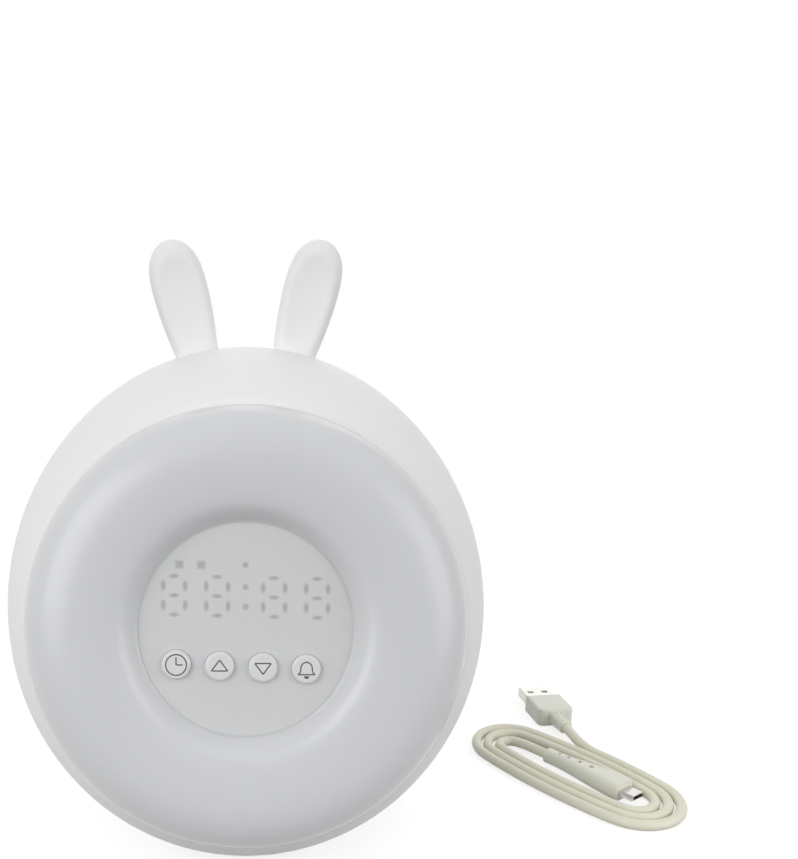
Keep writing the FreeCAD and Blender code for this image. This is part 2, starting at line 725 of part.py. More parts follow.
def cell_contact_side():
    """The leaf that touches the cell's wall."""
    low = CELL_R + JOINT_GAP
    leaf = block(low, low + CONTACT_THICK, WELL_FLOOR, DOOR_SEAT - 0.4, DOOR_CENTRE - 2.0, DOOR_CENTRE + 2.0)
    foot_part = block(low, low + 1.2, WELL_FLOOR, WELL_FLOOR + CONTACT_THICK, DOOR_CENTRE - 2.0, DOOR_CENTRE + 2.0)
    return solid_of(leaf.fuse(foot_part).removeSplitter())


def port_shell():
    """The steel shell of the charging port."""
    front = HUB_TOP - 0.3 - PORT_DEPTH
    back = HUB_TOP - 0.3
    return solid_of(port_prism(PORT_WALL, front, back).cut(port_prism(0.0, front + 0.4, back + 1)))


def port_tongue():
    """The tongue with the contacts inside the port."""
    front = HUB_TOP + 0.1 - PORT_DEPTH
    return block(-1.85, 1.85, front, front + 3.6, PORT_RISE - 0.1, PORT_RISE + 0.5)


def port_board():
    """The small board that carries the port."""
    back = HUB_TOP - PORT_FACE - FIT
    low = PORT_RISE - PORT_HEIGHT / 2 - PORT_WALL
    half = PORT_BOARD_WIDTH / 2
    return block(-half, half, back - PORT_BOARD_LENGTH, back, low - BOARD_THICK, low)


def diffuser_outline():
    """The points of the diffuser's outer face, from the seam over the crest to the recess."""
    rim = SEAM_R - 0.1
    return [
        at(rim, 0),
        at(rim - 0.7, -CREST_RISE * 0.34),
        at(rim - 4.3, -CREST_RISE * 0.71),
        at((rim + CREST_R) / 2 - 1.6, -CREST_RISE * 0.925),
        at(CREST_R, -CREST_RISE),
        at((CREST_R + LIP_R) / 2, -(CREST_RISE * 0.45 + LIP_RISE * 0.55) - 0.35),
        at(LIP_R, -LIP_RISE),
        at(RECESS_R + 2.8, -LIP_RISE + 1.6),
        at(RECESS_R + 0.9, -RECESS_DROP - 1.5),
        at(RECESS_R, -RECESS_DROP + 0.3),
    ]


def diffuser():
    """The translucent lens: one turned ring of even wall with a skirt and the window's seat."""
    points = diffuser_outline()
    curve = spline(points, Vector(-0.05, -1, 0), Vector(-0.25, 1, 0))
    inner = []
    for point in points[2:-1]:
        tangent = curve.tangent(curve.parameter(point))[0]
        inner.append(point + Vector(-tangent.y, tangent.x, 0) * -DIFFUSER_WALL)
    skirt_r = TRAY_RIM_R - SKIRT_THICK
    seat_back = WINDOW_BACK + SEAT_THICK
    seat_r = RECESS_R - WINDOW_SEAT
    wall_r = RECESS_R + DIFFUSER_WALL
    liner = [at(skirt_r, -CREST_RISE * 0.3)] + inner
    edges = [curve.toShape(), spline(liner).toShape()]
    edges += polyline([points[0], at(TRAY_RIM_R, 0), at(TRAY_RIM_R, TRAY_FRONT), at(skirt_r, TRAY_FRONT), liner[0]])
    edges += polyline([liner[-1], at(wall_r, seat_back), at(seat_r, seat_back), at(seat_r, WINDOW_BACK)])
    edges += polyline([at(seat_r, WINDOW_BACK), at(RECESS_R, WINDOW_BACK), points[-1]])
    return turned(edges)


def button_places():
    """The centres of the front buttons, as X and rise."""
    turn = math.radians(BUTTON_ROW_TURN)
    return [(x, -BUTTON_DROP + (x - BUTTON_ROW_OFFSET) * math.tan(turn)) for x in BUTTON_X]


def display_window():
    """The translucent disc in the recess, with a hole for each button."""
    window = disc(RECESS_R - WINDOW_GAP, -RECESS_DROP, WINDOW_BACK)
    for x, rise in button_places():
        window = window.cut(disc(BUTTON_R + BUTTON_GAP, -RECESS_DROP - 1, WINDOW_BACK + 1, x, rise))
    return solid_of(window)


def front_button(x, rise):
    """A button cap with a rounded face, a flange behind the window and a stem into its switch."""
    face = -RECESS_DROP - BUTTON_PROUD
    edge = 0.7
    flange_front = WINDOW_BACK + FIT
    flange_back = flange_front + BUTTON_FLANGE_THICK
    flange_r = BUTTON_R + BUTTON_FLANGE
    stem_end = CONTROL_FRONT - SWITCH_HEIGHT + 1.0
    shoulder = edge * (1 - math.sqrt(0.5))
    edges = [arc(at(BUTTON_R - edge, face), at(BUTTON_R - shoulder, face + shoulder), at(BUTTON_R, face + edge))]
    profile = [at(BUTTON_R, face + edge), at(BUTTON_R, flange_front), at(flange_r, flange_front)]
    profile += [at(flange_r, flange_back), at(STEM_R, flange_back), at(STEM_R, stem_end), at(0, stem_end)]
    profile += [at(0, face), at(BUTTON_R - edge, face)]
    cap = turned(edges + polyline(profile))
    cap.translate(Vector(x, 0, rise))
    return cap


def switch_body(travel):
    """A square push switch that stands on +Z, with the bore that its button's stem enters."""
    half = SWITCH_SIZE / 2
    body = Part.makeBox(SWITCH_SIZE, SWITCH_SIZE, SWITCH_HEIGHT, Vector(-half, -half, 0))
    bore = cylinder(STEM_R + STEM_PLAY, Vector(0, 0, SWITCH_HEIGHT - 1.4 - travel), Vector(0, 0, SWITCH_HEIGHT + 1))
    return body.cut(bore)


def front_switches():
    """The push switches behind the front buttons."""
    switches = []
    for x, rise in button_places():
        switch = switch_body(BUTTON_TRAVEL)
        switch.rotate(Vector(0, 0, 0), Vector(1, 0, 0), 90)
        switch.translate(Vector(x, CONTROL_FRONT, rise))
        switches.append(switch)
    return Part.makeCompound(switches)


def segment(length, upright):
    """One bar of a digit with pointed ends, centred on the origin of the face's plane."""
    half = length / 2
    side = SEGMENT_WIDTH / 2
    plan = [(-half, 0), (-half + side, side), (half - side, side), (half, 0), (half - side, -side), (-half + side, -side)]
    if upright:
        plan = [(z, x) for x, z in plan]
    corners = [Vector(x, WINDOW_BACK, z) for x, z in plan]
    return Part.Face(Part.makePolygon(corners + corners[:1])).extrude(Vector(0, 1.5, 0))


def display_segments():
    """The light pieces of four digits, the colon, two small flags and a dot."""
    pieces = []
    half_height = DIGIT_HEIGHT / 2 - SEGMENT_WIDTH / 2
    half_width = DIGIT_WIDTH / 2 - SEGMENT_WIDTH / 2
    for centre in DIGIT_CENTRES:
        for level in (-half_height, 0, half_height):
            bar = segment(2 * half_width - SEGMENT_GAP, False)
            bar.translate(Vector(centre, 0, DIGIT_RISE + level))
            pieces.append(bar)
            if level < half_height:
                for x in (-half_width, half_width):
                    upright = segment(half_height - SEGMENT_GAP, True)
                    upright.translate(Vector(centre + x, 0, DIGIT_RISE + level + half_height / 2))
                    pieces.append(upright)
    for sign in (-1, 1):
        rise = DIGIT_RISE + sign * COLON_SPREAD / 2
        pieces.append(disc(COLON_SIZE / 2, WINDOW_BACK, WINDOW_BACK + 1.5, 0.0, rise))
    half = FLAG_SIZE / 2
    for x in FLAG_CENTRES:
        pieces.append(block(x - half, x + half, WINDOW_BACK, WINDOW_BACK + 1.5, FLAG_RISE - half, FLAG_RISE + half))
    pieces.append(disc(COLON_SIZE / 2, WINDOW_BACK, WINDOW_BACK + 1.5, 0.0, FLAG_RISE))
    return Part.makeCompound(pieces)


def display_reflector():
    """The white block behind the window whose wells hold the display's light pieces."""
    half = DIGIT_CENTRES[-1] + DIGIT_WIDTH / 2 + REFLECTOR_MARGIN
    low = DIGIT_RISE - DIGIT_HEIGHT / 2 - REFLECTOR_MARGIN
    high = FLAG_RISE + FLAG_SIZE / 2 + REFLECTOR_MARGIN
    body = block(-half, half, WINDOW_BACK, CONTROL_FRONT, low, high)
    body = body.common(disc(RECESS_R - WINDOW_SEAT - FIT, WINDOW_BACK, CONTROL_FRONT))
    return solid_of(body.cut(display_segments()))


def boss_places():
    """The three bosses that carry the control board."""
    turns = (math.radians(90), math.radians(210), math.radians(330))
    return [(BOSS_RING_R * math.cos(turn), BOSS_RING_R * math.sin(turn)) for turn in turns]


def control_board():
    """The round board of the display and the front switches."""
    board = disc(CONTROL_BOARD_R, CONTROL_FRONT, CONTROL_BACK)
    for x, rise in boss_places():
        board = board.cut(disc(INNER_SCREW_R + FIT, CONTROL_FRONT - 1, CONTROL_BACK + 1, x, rise))
    return solid_of(board)


def board_parts():
    """The controller chip, two capacitors and a plug on the back of the control board."""
    back = CONTROL_BACK
    can_end = back + CAN_HEIGHT
    chip = block(-CHIP_SIZE / 2, CHIP_SIZE / 2, back, back + CHIP_HEIGHT, -CHIP_SIZE / 2, CHIP_SIZE / 2)
    plug = block(6.4, 6.4 + PLUG_WIDTH, back, back + PLUG_HEIGHT, -PLUG_LENGTH / 2, PLUG_LENGTH / 2)
    cans = [disc(CAN_R, back, can_end, -7.6, rise) for rise in (-5.0, 0.0)]
    return Part.makeCompound([chip, plug] + cans)


def light_tray():
    """The white tray behind the diffuser, with a middle opening and the control board's bosses."""
    opening = 13.0
    lip = 1.2
    profile = [(opening, TRAY_FRONT), (TRAY_RIM_R, TRAY_FRONT), (TRAY_RIM_R, TRAY_BACK)]
    profile += [(opening + lip, TRAY_BACK), (opening + lip, TRAY_BACK + 2), (opening, TRAY_BACK + 2)]
    tray = turned_polygon(profile)
    for x, rise in boss_places():
        tray = tray.fuse(disc(BOSS_R, CONTROL_BACK, TRAY_FRONT + 0.5, x, rise))
    for x, rise in boss_places():
        tray = tray.cut(disc(INNER_SCREW_R + JOINT_GAP, CONTROL_BACK - 1, TRAY_BACK + 1, x, rise))
    return solid_of(tray.removeSplitter())


def light_board():
    """The ring-shaped board of the night light."""
    profile = [(LIGHT_BOARD_INNER_R, TRAY_FRONT - BOARD_THICK), (LIGHT_BOARD_OUTER_R, TRAY_FRONT - BOARD_THICK)]
    profile += [(LIGHT_BOARD_OUTER_R, TRAY_FRONT), (LIGHT_BOARD_INNER_R, TRAY_FRONT)]
    return turned_polygon(profile)


def light_lamps():
    """The small lamps of the night light, on a circle."""
    lamps = []
    radius = (LIGHT_BOARD_INNER_R + LIGHT_BOARD_OUTER_R) / 2
    half = LAMP_SIZE / 2
    front = TRAY_FRONT - BOARD_THICK - LAMP_HEIGHT
    for step in range(LAMP_COUNT):
        lamp = block(radius - half, radius + half, front, front + LAMP_HEIGHT, -half * 0.8, half * 0.8)
        lamp.rotate(Vector(0, 0, 0), Vector(0, 1, 0), 360.0 * step / LAMP_COUNT)
        lamps.append(lamp)
    return Part.makeCompound(lamps)


def speaker_basket():
    """The speaker's steel basket: a square plate with a funnel behind the cone."""
    half = SPEAKER_SIZE / 2
    plate = block(-half, half, SPEAKER_BACK, SPEAKER_FACE, HUB_RISE - half, HUB_RISE + half)
    corners = [edge for edge in plate.Edges if abs(edge.tangentAt(0).y) > 0.9]
    plate = plate.makeFillet(4.0, corners)
    mouth = CONE_R + 1.0
    plate = plate.cut(disc(mouth, SPEAKER_BACK - 1, SPEAKER_FACE + 1, rise=HUB_RISE))
    for x, rise in speaker_corners():
        plate = plate.cut(disc(INNER_SCREW_R + FIT, SPEAKER_BACK - 1, SPEAKER_FACE + 1, x, rise))
    end = SPEAKER_BACK - BASKET_DEPTH
    funnel = [(mouth, SPEAKER_FACE), (mouth, SPEAKER_BACK), (BASKET_REAR_R, end + 1), (0, end + 1), (0, end)]
    funnel += [(BASKET_REAR_R + 0.6, end), (mouth + 1.2, SPEAKER_BACK), (mouth + 1.2, SPEAKER_FACE)]
    return solid_of(plate.fuse(turned_polygon(funnel, HUB_RISE)).removeSplitter())


def speaker_cone():
    """The cone with its surround and its domed dust cap."""
    profile = [(0, 55.5), (7, 53.5), (8, 52.5), (22, 60), (CONE_R + 0.8, 60), (CONE_R + 0.8, 61), (21.6, 61)]
    profile += [(8, 53.6), (7, 54.5), (0, 56.5)]
    shift = SPEAKER_FACE - 61.5
    return turned_polygon([(radius, depth + shift) for radius, depth in profile], HUB_RISE)


def speaker_magnet():
    """The round magnet behind the basket."""
    end = SPEAKER_BACK - BASKET_DEPTH
    return disc(MAGNET_R, end - MAGNET_HEIGHT, end, rise=HUB_RISE)


def light_button():
    """The night-light button: a cap cut from the shell's own curve, its flange and its stem."""
    centre, facing = light_button_place()
    cap = cylinder(LIGHT_BUTTON_R, Vector(0, 0, -LIGHT_FLANGE_DEPTH), Vector(0, 0, 6))
    cap = toward(cap, centre, facing).common(body_outer())
    flange_low = -LIGHT_FLANGE_DEPTH - LIGHT_FLANGE_THICK
    flange = cylinder(LIGHT_BUTTON_R + LIGHT_FLANGE, Vector(0, 0, flange_low), Vector(0, 0, -LIGHT_FLANGE_DEPTH))
    stem_end = -LIGHT_BOARD_DEPTH + SWITCH_HEIGHT - 1.0
    stem = cylinder(STEM_R, Vector(0, 0, stem_end), Vector(0, 0, flange_low))
    return solid_of(cap.fuse([toward(flange, centre, facing), toward(stem, centre, facing)]).removeSplitter())


def light_switch():
    """The push switch behind the night-light button."""
    centre, facing = light_button_place()
    switch = switch_body(LIGHT_BUTTON_TRAVEL)
    switch.translate(Vector(0, 0, -LIGHT_BOARD_DEPTH))
    return toward(switch, centre, facing)


def light_switch_board():
    """The board under the night-light button, on its two posts."""
    centre, facing = light_button_place()
    corner = Vector(-LIGHT_BOARD_LENGTH / 2, -LIGHT_BOARD_WIDTH / 2, -LIGHT_BOARD_DEPTH - BOARD_THICK)
    board = Part.makeBox(LIGHT_BOARD_LENGTH, LIGHT_BOARD_WIDTH, BOARD_THICK, corner)
    for sign in (-1, 1):
        x = sign * LIGHT_POST_OFFSET
        board = board.cut(cylinder(INNER_SCREW_R + FIT, Vector(x, 0, -LIGHT_BOARD_DEPTH - 5), Vector(x, 0, 0)))
    return toward(board, centre, facing)


def inner_screw(thickness):
    """A screw that points to +Z, whose head bears on a sheet of the given thickness at the origin."""
    head = cylinder(INNER_SCREW_HEAD_R, Vector(0, 0, -INNER_SCREW_HEAD), Vector(0, 0, 0))
    return head.fuse(cylinder(INNER_SCREW_R, Vector(0, 0, 0), Vector(0, 0, thickness + 3.0)))


def inner_screws():
    """The screws of the speaker, the control board and the night-light button's board."""
    screws = []
    for x, rise in speaker_corners():
        screw = inner_screw(SPEAKER_PLATE)
        screw.rotate(Vector(0, 0, 0), Vector(1, 0, 0), -90)
        screw.translate(Vector(x, SPEAKER_BACK, rise))
        screws.append(screw)
    for x, rise in boss_places():
        screw = inner_screw(BOARD_THICK)
        screw.rotate(Vector(0, 0, 0), Vector(1, 0, 0), -90)
        screw.translate(Vector(x, CONTROL_FRONT, rise))
        screws.append(screw)
    centre, facing = light_button_place()
    for sign in (-1, 1):
        screw = inner_screw(BOARD_THICK)
        screw.translate(Vector(sign * LIGHT_POST_OFFSET, 0, -LIGHT_BOARD_DEPTH - BOARD_THICK))
        screws.append(toward(screw, centre, facing))
    return Part.makeCompound(screws)


def hank_direction():
    turn = math.radians(HANK_ANGLE)
    return Vector(math.cos(turn), math.sin(turn), 0)


def on_hank(along, across, height=CORD_D / 2):
    """A point given along and across the hank, on the table."""
    axis = hank_direction()
    side = Vector(-axis.y, axis.x, 0)
    return Vector(HANK_CENTRE[0], HANK_CENTRE[1], height) + axis * along + side * across


def hank_radii(length, width):
    """Radii of the long side and of the round end of a quarter turn with these half sizes."""
    bend = math.radians(HANK_SIDE_BEND)
    spread = math.sin(bend) + math.cos(bend) - 1
    side = (length * math.cos(bend) - width * (1 - math.sin(bend))) / spread
    end = (width * math.sin(bend) - length * (1 - math.cos(bend))) / spread
    return side, end


def clockwise(place, heading, radius, turn):
    """An arc to the right from a place and heading, with the place and heading at its end."""
    centre = place + Vector(math.sin(heading), -math.cos(heading), 0) * radius
    points = []
    for share in (0.5, 1.0):
        out = heading + math.pi / 2 - turn * share
        points.append(centre + Vector(math.cos(out), math.sin(out), 0) * radius)
    return arc(place, *points), points[-1], heading - turn


def cord_tube(wire, normal):
    """A round tube of the cord's size along a wire that leaves its start in the normal's direction."""
    start = wire.OrderedVertexes[0].Point
    circle = Part.Wire([Part.Circle(start, normal, CORD_D / 2).toShape()])
    shell = Part.BRepOffsetAPI.MakePipeShell(wire)
    shell.add(circle)
    shell.build()
    shell.makeSolid()
    return solid_of(shell.shape())


def hank_wire():
    """Quarter turns of a long side and a round end each, every one a quarter pitch further in."""
    step = (CORD_D + CORD_GAP) / 4
    bend = math.radians(HANK_SIDE_BEND)
    place = on_hank(0, HANK_HALF_WIDTH)
    heading = math.radians(HANK_ANGLE)
    edges = []
    for quarter in range(int(HANK_TURNS * 4)):
        outwards = quarter % 2
        length = HANK_HALF_LENGTH - step * (quarter + 1 - outwards)
        width = HANK_HALF_WIDTH - step * (quarter + outwards)
        side, end = hank_radii(length, width)
        arcs = [(side, bend), (end, math.pi / 2 - bend)]
        for radius, turn in reversed(arcs) if outwards else arcs:
            edge, place, heading = clockwise(place, heading, radius, turn)
            edges.append(edge)
    return Part.Wire(edges)


def least_self_gap(wire):
    """The least clear space between two stretches of the wire that are not neighbours."""
    points = wire.discretize(Distance=1.5)
    skip = int(4 * CORD_D / 1.5)
    gap = min((points[i] - points[j]).Length for i in range(len(points)) for j in range(i + skip, len(points)))
    return gap - CORD_D


def cable_hank():
    """The cable's flat spiral of long turns, as one unbroken tube."""
    wire = hank_wire()
    tube = cord_tube(wire, hank_direction())
    area = math.pi * CORD_D ** 2 / 4
    print("hank length %.1f, least self gap %.2f, volume ratio %.4f" % (
        wire.Length, least_self_gap(wire), tube.Volume / (area * wire.Length)))
    return tube


def rounded_route(points):
    """Straight runs joined by tangent arcs as large as the runs allow, and the radii used."""
    edges = []
    radii = []
    last = points[0]
    for before, corner, after in zip(points, points[1:], points[2:]):
        into = (corner - before)
        out = (after - corner)
        shorter = min(into.Length, out.Length)
        turn = into.getAngle(out)
        reach = 0.45 * shorter
        radii.append(reach / math.tan(turn / 2))
        start = corner - into.normalize() * reach
        end = corner + out.normalize() * reach
        bisector = (start + end) * 0.5 - corner
        centre_way = bisector.normalize()
        to_centre = radii[-1] / math.cos(turn / 2)
        middle = corner + centre_way * (to_centre - radii[-1])
        edges.append(line(last, start))
        edges.append(arc(start, middle, end))
        last = end
    edges.append(line(last, points[-1]))
    return Part.Wire(edges), radii


def lead(points, name):
    """One free stretch of the cable along its route."""
    wire, radii = rounded_route(points)
    tube = cord_tube(wire, points[1] - points[0])
    area = math.pi * CORD_D ** 2 / 4
    print("%s length %.1f, radii %s, volume ratio %.4f" % (
        name, wire.Length, [round(radius, 1) for radius in radii], tube.Volume / (area * wire.Length)))
    return tube


# Routes of the two free stretches: along the hank, across it, and up from the table
LEAD_A = [
    (0.0, 20.0, 1.9),
    (-6.0, 20.0, 1.9),
    (-11.9, 21.0, 2.7),
    (-17.5, 23.1, 3.8),
    (-21.9, 25.5, 3.8),
]
LEAD_B = [
    (0.0, -9.0, 1.9),
    (-9.5, -9.0, 1.9),
    (-19.0, -7.9, 1.9),
    (-27.6, -7.0, 1.9),
    (-30.6, -4.2, 1.9),
    (-30.6, -0.5, 1.9),
    (-27.8, 2.2, 2.1),
    (-20.0, 2.2, 2.8),
    (-12.0, 2.2, 2.8),
]


def route(points):
    return [on_hank(*point) for point in points]


def rounded_rectangle(width, height, radius, x, middle):
    """A rectangle with round corners, square to X."""
    half_width = width / 2 - radius
    half_height = height / 2 - radius
    edges = []
    for quarter in range(4):
        turn = math.pi / 2 * quarter
        sy = (1, -1, -1, 1)[quarter]
        sz = (1, 1, -1, -1)[quarter]
        centre = Vector(x, sy * half_width, middle + sz * half_height)
        angles = (turn, turn + math.pi / 4, turn + math.pi / 2)
        points = [centre + Vector(0, math.cos(a), math.sin(a)) * radius for a in angles]
        edges.append(arc(*points))
    wires = []
    for index, edge in enumerate(edges):
        wires.append(edge)
        after = edges[(index + 1) % 4]
        wires.append(line(edge.Vertexes[-1].Point, after.Vertexes[0].Point))
    return Part.Wire(Part.__sortEdges__(wires))


def on_lead(shape, points):
    """A piece of a plug, drawn from its cord's end along +X, moved to the end of its lead."""
    before, end = route(points)[-2:]
    heading = end - before
    moved = shape.copy()
    moved.rotate(Vector(0, 0, 0), Vector(0, 0, 1), math.degrees(math.atan2(heading.y, heading.x)))
    moved.translate(Vector(end.x, end.y, 0))
    return moved


def usb_grip():
    """The large plug's overmould with its slotted strain relief."""
    middle = A_GRIP_HEIGHT / 2
    end = A_RELIEF_LENGTH
    relief = Part.makeLoft([
        rounded_rectangle(CORD_D + 1.0, CORD_D + 1.0, 1.6, 0, middle),
        rounded_rectangle(A_RELIEF_WIDTH + 1, A_RELIEF_WIDTH, 1.6, end, middle),
    ], True, True)
    for step in range(4):
        x = 1.6 + 1.9 * step
        for side in (-1, 1):
            for face in (-1, 1):
                notch = Part.makeBox(0.8, 1.1, 1.0, Vector(x, side * 1.1 - 0.55, middle + face * 2.6 - 0.5))
                relief = relief.cut(notch)
    grip = Part.makeBox(A_GRIP_LENGTH, A_GRIP_WIDTH, A_GRIP_HEIGHT, Vector(end, -A_GRIP_WIDTH / 2, 0))
    upright = [edge for edge in grip.Edges if abs(edge.tangentAt(0).z) > 0.9 and edge.CenterOfMass.x < end + 1]
    grip = grip.makeFillet(2.6, upright)
    flat = [edge for edge in grip.Edges if abs(edge.CenterOfMass.z - middle) > middle - 0.1]
    grip = grip.makeFillet(1.0, flat)
    return on_lead(solid_of(grip.fuse(relief)), LEAD_A)


def usb_shell():
    """The large plug's steel shell with two windows and a small slot."""
    start = A_RELIEF_LENGTH + A_GRIP_LENGTH
    middle = A_GRIP_HEIGHT / 2
    low = middle - A_SHELL_HEIGHT / 2
    wall = A_SHELL_WALL
    half = A_SHELL_WIDTH / 2
    shell = Part.makeBox(A_SHELL_LENGTH, A_SHELL_WIDTH, A_SHELL_HEIGHT, Vector(start, -half, low))
    long_edges = [edge for edge in shell.Edges if abs(edge.tangentAt(0).x) > 0.9]
    shell = shell.makeFillet(0.5, long_edges)
    size = (A_SHELL_LENGTH, A_SHELL_WIDTH - 2 * wall, A_SHELL_HEIGHT - 2 * wall)
    shell = shell.cut(Part.makeBox(*size, Vector(start + 0.5, -half + wall, low + wall)))
    for side in (-1, 1):
        for height in (low - 0.5, low + A_SHELL_HEIGHT - 0.5):
            window = Part.makeBox(2.2, 2.6, 1.0, Vector(start + 4.9, side * 3.1 - 1.3, height))
            shell = shell.cut(window)
    slot = Part.makeBox(1.0, 2.8, 1.0, Vector(start + 1.6, -1.4, low + A_SHELL_HEIGHT - 0.5))
    return on_lead(solid_of(shell.cut(slot)), LEAD_A)


def usb_tongue():
    """The large plug's tongue, which carries its contacts."""
    start = A_RELIEF_LENGTH + A_GRIP_LENGTH + 0.5
    low = A_GRIP_HEIGHT / 2 - A_SHELL_HEIGHT / 2 + A_SHELL_WALL
    width = A_SHELL_WIDTH - 2 * A_SHELL_WALL
    return on_lead(Part.makeBox(A_SHELL_LENGTH - 1.2, width, 1.9, Vector(start, -width / 2, low)), LEAD_A)


def micro_grip():
    """The small plug's long handle, narrow at the cord, with four square dimples."""
    stations = [
        (0, MICRO_NECK_WIDTH, MICRO_NECK_WIDTH, 2.2),
        (0.4, 6.6, 6.1, 2.3),
        (0.72, MICRO_GRIP_WIDTH, MICRO_GRIP_HEIGHT, 2.2),
        (1.0, MICRO_GRIP_WIDTH, MICRO_GRIP_HEIGHT, 1.8),
    ]
    sections = []
    for share, width, height, radius in stations:
        sections.append(rounded_rectangle(width, height, radius, share * MICRO_GRIP_LENGTH, height / 2))
    grip = Part.makeLoft(sections, True, False)
    for share, size in ((0.14, 1.1), (0.26, 1.3), (0.4, 1.6), (0.55, 1.8)):
        x = share * MICRO_GRIP_LENGTH
        grip = grip.cut(Part.makeBox(size, size, 2.0, Vector(x, -size / 2, 5.0)))
    return on_lead(solid_of(grip), LEAD_B)


def micro_shell():
    """The small plug's steel tip, hollow at its mouth."""
    start = MICRO_GRIP_LENGTH
    low = MICRO_GRIP_HEIGHT / 2 - MICRO_SHELL_HEIGHT / 2
    half = MICRO_SHELL_WIDTH / 2
    shell = Part.makeBox(MICRO_SHELL_LENGTH, MICRO_SHELL_WIDTH, MICRO_SHELL_HEIGHT, Vector(start, -half, low))
    upper = []
    for edge in shell.Edges:
        if abs(edge.tangentAt(0).x) > 0.9 and edge.CenterOfMass.z > low + 0.1:
            upper.append(edge)
    shell = shell.makeChamfer(0.7, upper)
    mouth = Part.makeBox(4.6, MICRO_SHELL_WIDTH - 1.6, MICRO_SHELL_HEIGHT - 0.7, Vector(start + 1.1, -half + 0.8, low + 0.3))
    return on_lead(solid_of(shell.cut(mouth)), LEAD_B)


CLOCK_PIECES = {
    "rear_shell": rear_shell,
    "rear_hub": rear_hub,
    "battery_door": battery_door,
    "door_screw": door_screw,
    "coin_cell": coin_cell,
    "cell_contact_low": cell_contact_low,
    "cell_contact_side": cell_contact_side,
    "port_shell": port_shell,
    "port_tongue": port_tongue,
    "port_board": port_board,
    "diffuser": diffuser,
    "display_window": display_window,
    "display_reflector": display_reflector,
    "display_segments": display_segments,
    "front_switches": front_switches,
    "control_board": control_board,
    "board_parts": board_parts,
    "light_tray": light_tray,
    "light_board": light_board,
    "light_lamps": light_lamps,
    "speaker_basket": speaker_basket,
    "speaker_cone": speaker_cone,
    "speaker_magnet": speaker_magnet,
    "light_button": light_button,
    "light_switch": light_switch,
    "light_switch_board": light_switch_board,
    "inner_screws": inner_screws,
    "ear_left": lambda: mirrored(right_ear()),
    "ear_right": right_ear,
    "foot_left": lambda: foot(-1),
    "foot_right": lambda: foot(1),
}
TABLE_PIECES = {
    "foot_pads": foot_pads,
    "belly_pad": belly_pad,
    "cable_hank": cable_hank,
    "cable_lead_a": lambda: lead(route(LEAD_A), "lead a"),
    "cable_lead_b": lambda: lead(route(LEAD_B), "lead b"),
    "usb_grip": usb_grip,
    "usb_shell": usb_shell,
    "usb_tongue": usb_tongue,
    "micro_grip": micro_grip,
    "micro_shell": micro_shell,
}


def write(name, shape):
    """Write one piece as its STEP file and say what it is."""
    if not shape.isValid():
        print("not valid:", name)
    box = shape.BoundBox
    print("%-20s solids %d volume %9.1f z %7.2f to %7.2f" % (name, len(shape.Solids), shape.Volume, box.ZMin, box.ZMax))
    shape.exportStep("parts/%s.step" % name)


os.makedirs("parts", exist_ok=True)
for name, make in CLOCK_PIECES.items():
    write(name, placed(make()))
for name, (x, rise) in zip(BUTTON_NAMES, button_places()):
    write(name, placed(front_button(x, rise)))
for name, make in TABLE_PIECES.items():
    write(name, make())
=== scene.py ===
import json
import math

import bmesh
import bpy
from mathutils import Matrix, Vector


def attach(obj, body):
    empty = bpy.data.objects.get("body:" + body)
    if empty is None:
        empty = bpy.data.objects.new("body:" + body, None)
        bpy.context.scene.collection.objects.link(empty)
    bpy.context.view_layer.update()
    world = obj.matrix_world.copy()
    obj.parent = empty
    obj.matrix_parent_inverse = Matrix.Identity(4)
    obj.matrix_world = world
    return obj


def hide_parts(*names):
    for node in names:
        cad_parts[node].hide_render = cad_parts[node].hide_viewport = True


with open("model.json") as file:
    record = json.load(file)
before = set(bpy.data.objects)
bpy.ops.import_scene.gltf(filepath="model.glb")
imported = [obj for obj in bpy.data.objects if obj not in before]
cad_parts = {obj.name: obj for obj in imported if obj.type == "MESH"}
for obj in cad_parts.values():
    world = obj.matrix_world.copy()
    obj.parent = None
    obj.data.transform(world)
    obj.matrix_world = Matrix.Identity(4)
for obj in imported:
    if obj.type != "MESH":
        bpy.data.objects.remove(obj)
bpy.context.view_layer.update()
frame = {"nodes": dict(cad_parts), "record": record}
scene = bpy.context.scene

# Room: a seamless white sweep of matte card under a large softbox from the left and a fill from
# the right, as in a catalogue picture. The camera looks a little down on the leaning face.
MM = 0.001
CAMERA_PLACE = Vector((0.0, -301.4, 188.1)) * MM
CAMERA_TILT = 15.9
CAMERA_FOCAL = 42.54
CAMERA_SHIFT = (0.1785, 0.1356)
FLOOR_HALF_SIZE = 3.0
FLOOR_GLOW = 0.74
SHADOW_REACH = (180.0 * MM, 450.0 * MM)
ROOM_LIGHT = 0.6
SUBJECT = Vector((0.0, 20.0, 80.0)) * MM
SOFTBOXES = (
    ("softbox left", (-0.8, -0.7, 0.55), 0.9, 6.6),
    ("softbox right", (0.95, -0.5, 0.4), 0.8, 4.0),
    ("softbox back", (0.1, 0.95, 0.7), 0.9, 1.6),
)


def linear(code):
    """A colour written as a web hex code, as the linear values that a shader takes."""
    parts = [int(code[i:i + 2], 16) / 255 for i in (1, 3, 5)]
    return [p / 12.92 if p <= 0.04045 else ((p + 0.055) / 1.055) ** 2.4 for p in parts] + [1.0]


def add(tree, kind, inputs=(), **settings):
    """Adds a node with its settings, and sets or links the inputs that are given."""
    made = tree.nodes.new(kind)
    for name, value in settings.items():
        setattr(made, name, value)
    for name, value in dict(inputs).items():
        if isinstance(value, bpy.types.NodeSocket):
            tree.links.new(value, made.inputs[name])
        else:
            made.inputs[name].default_value = value
    return made


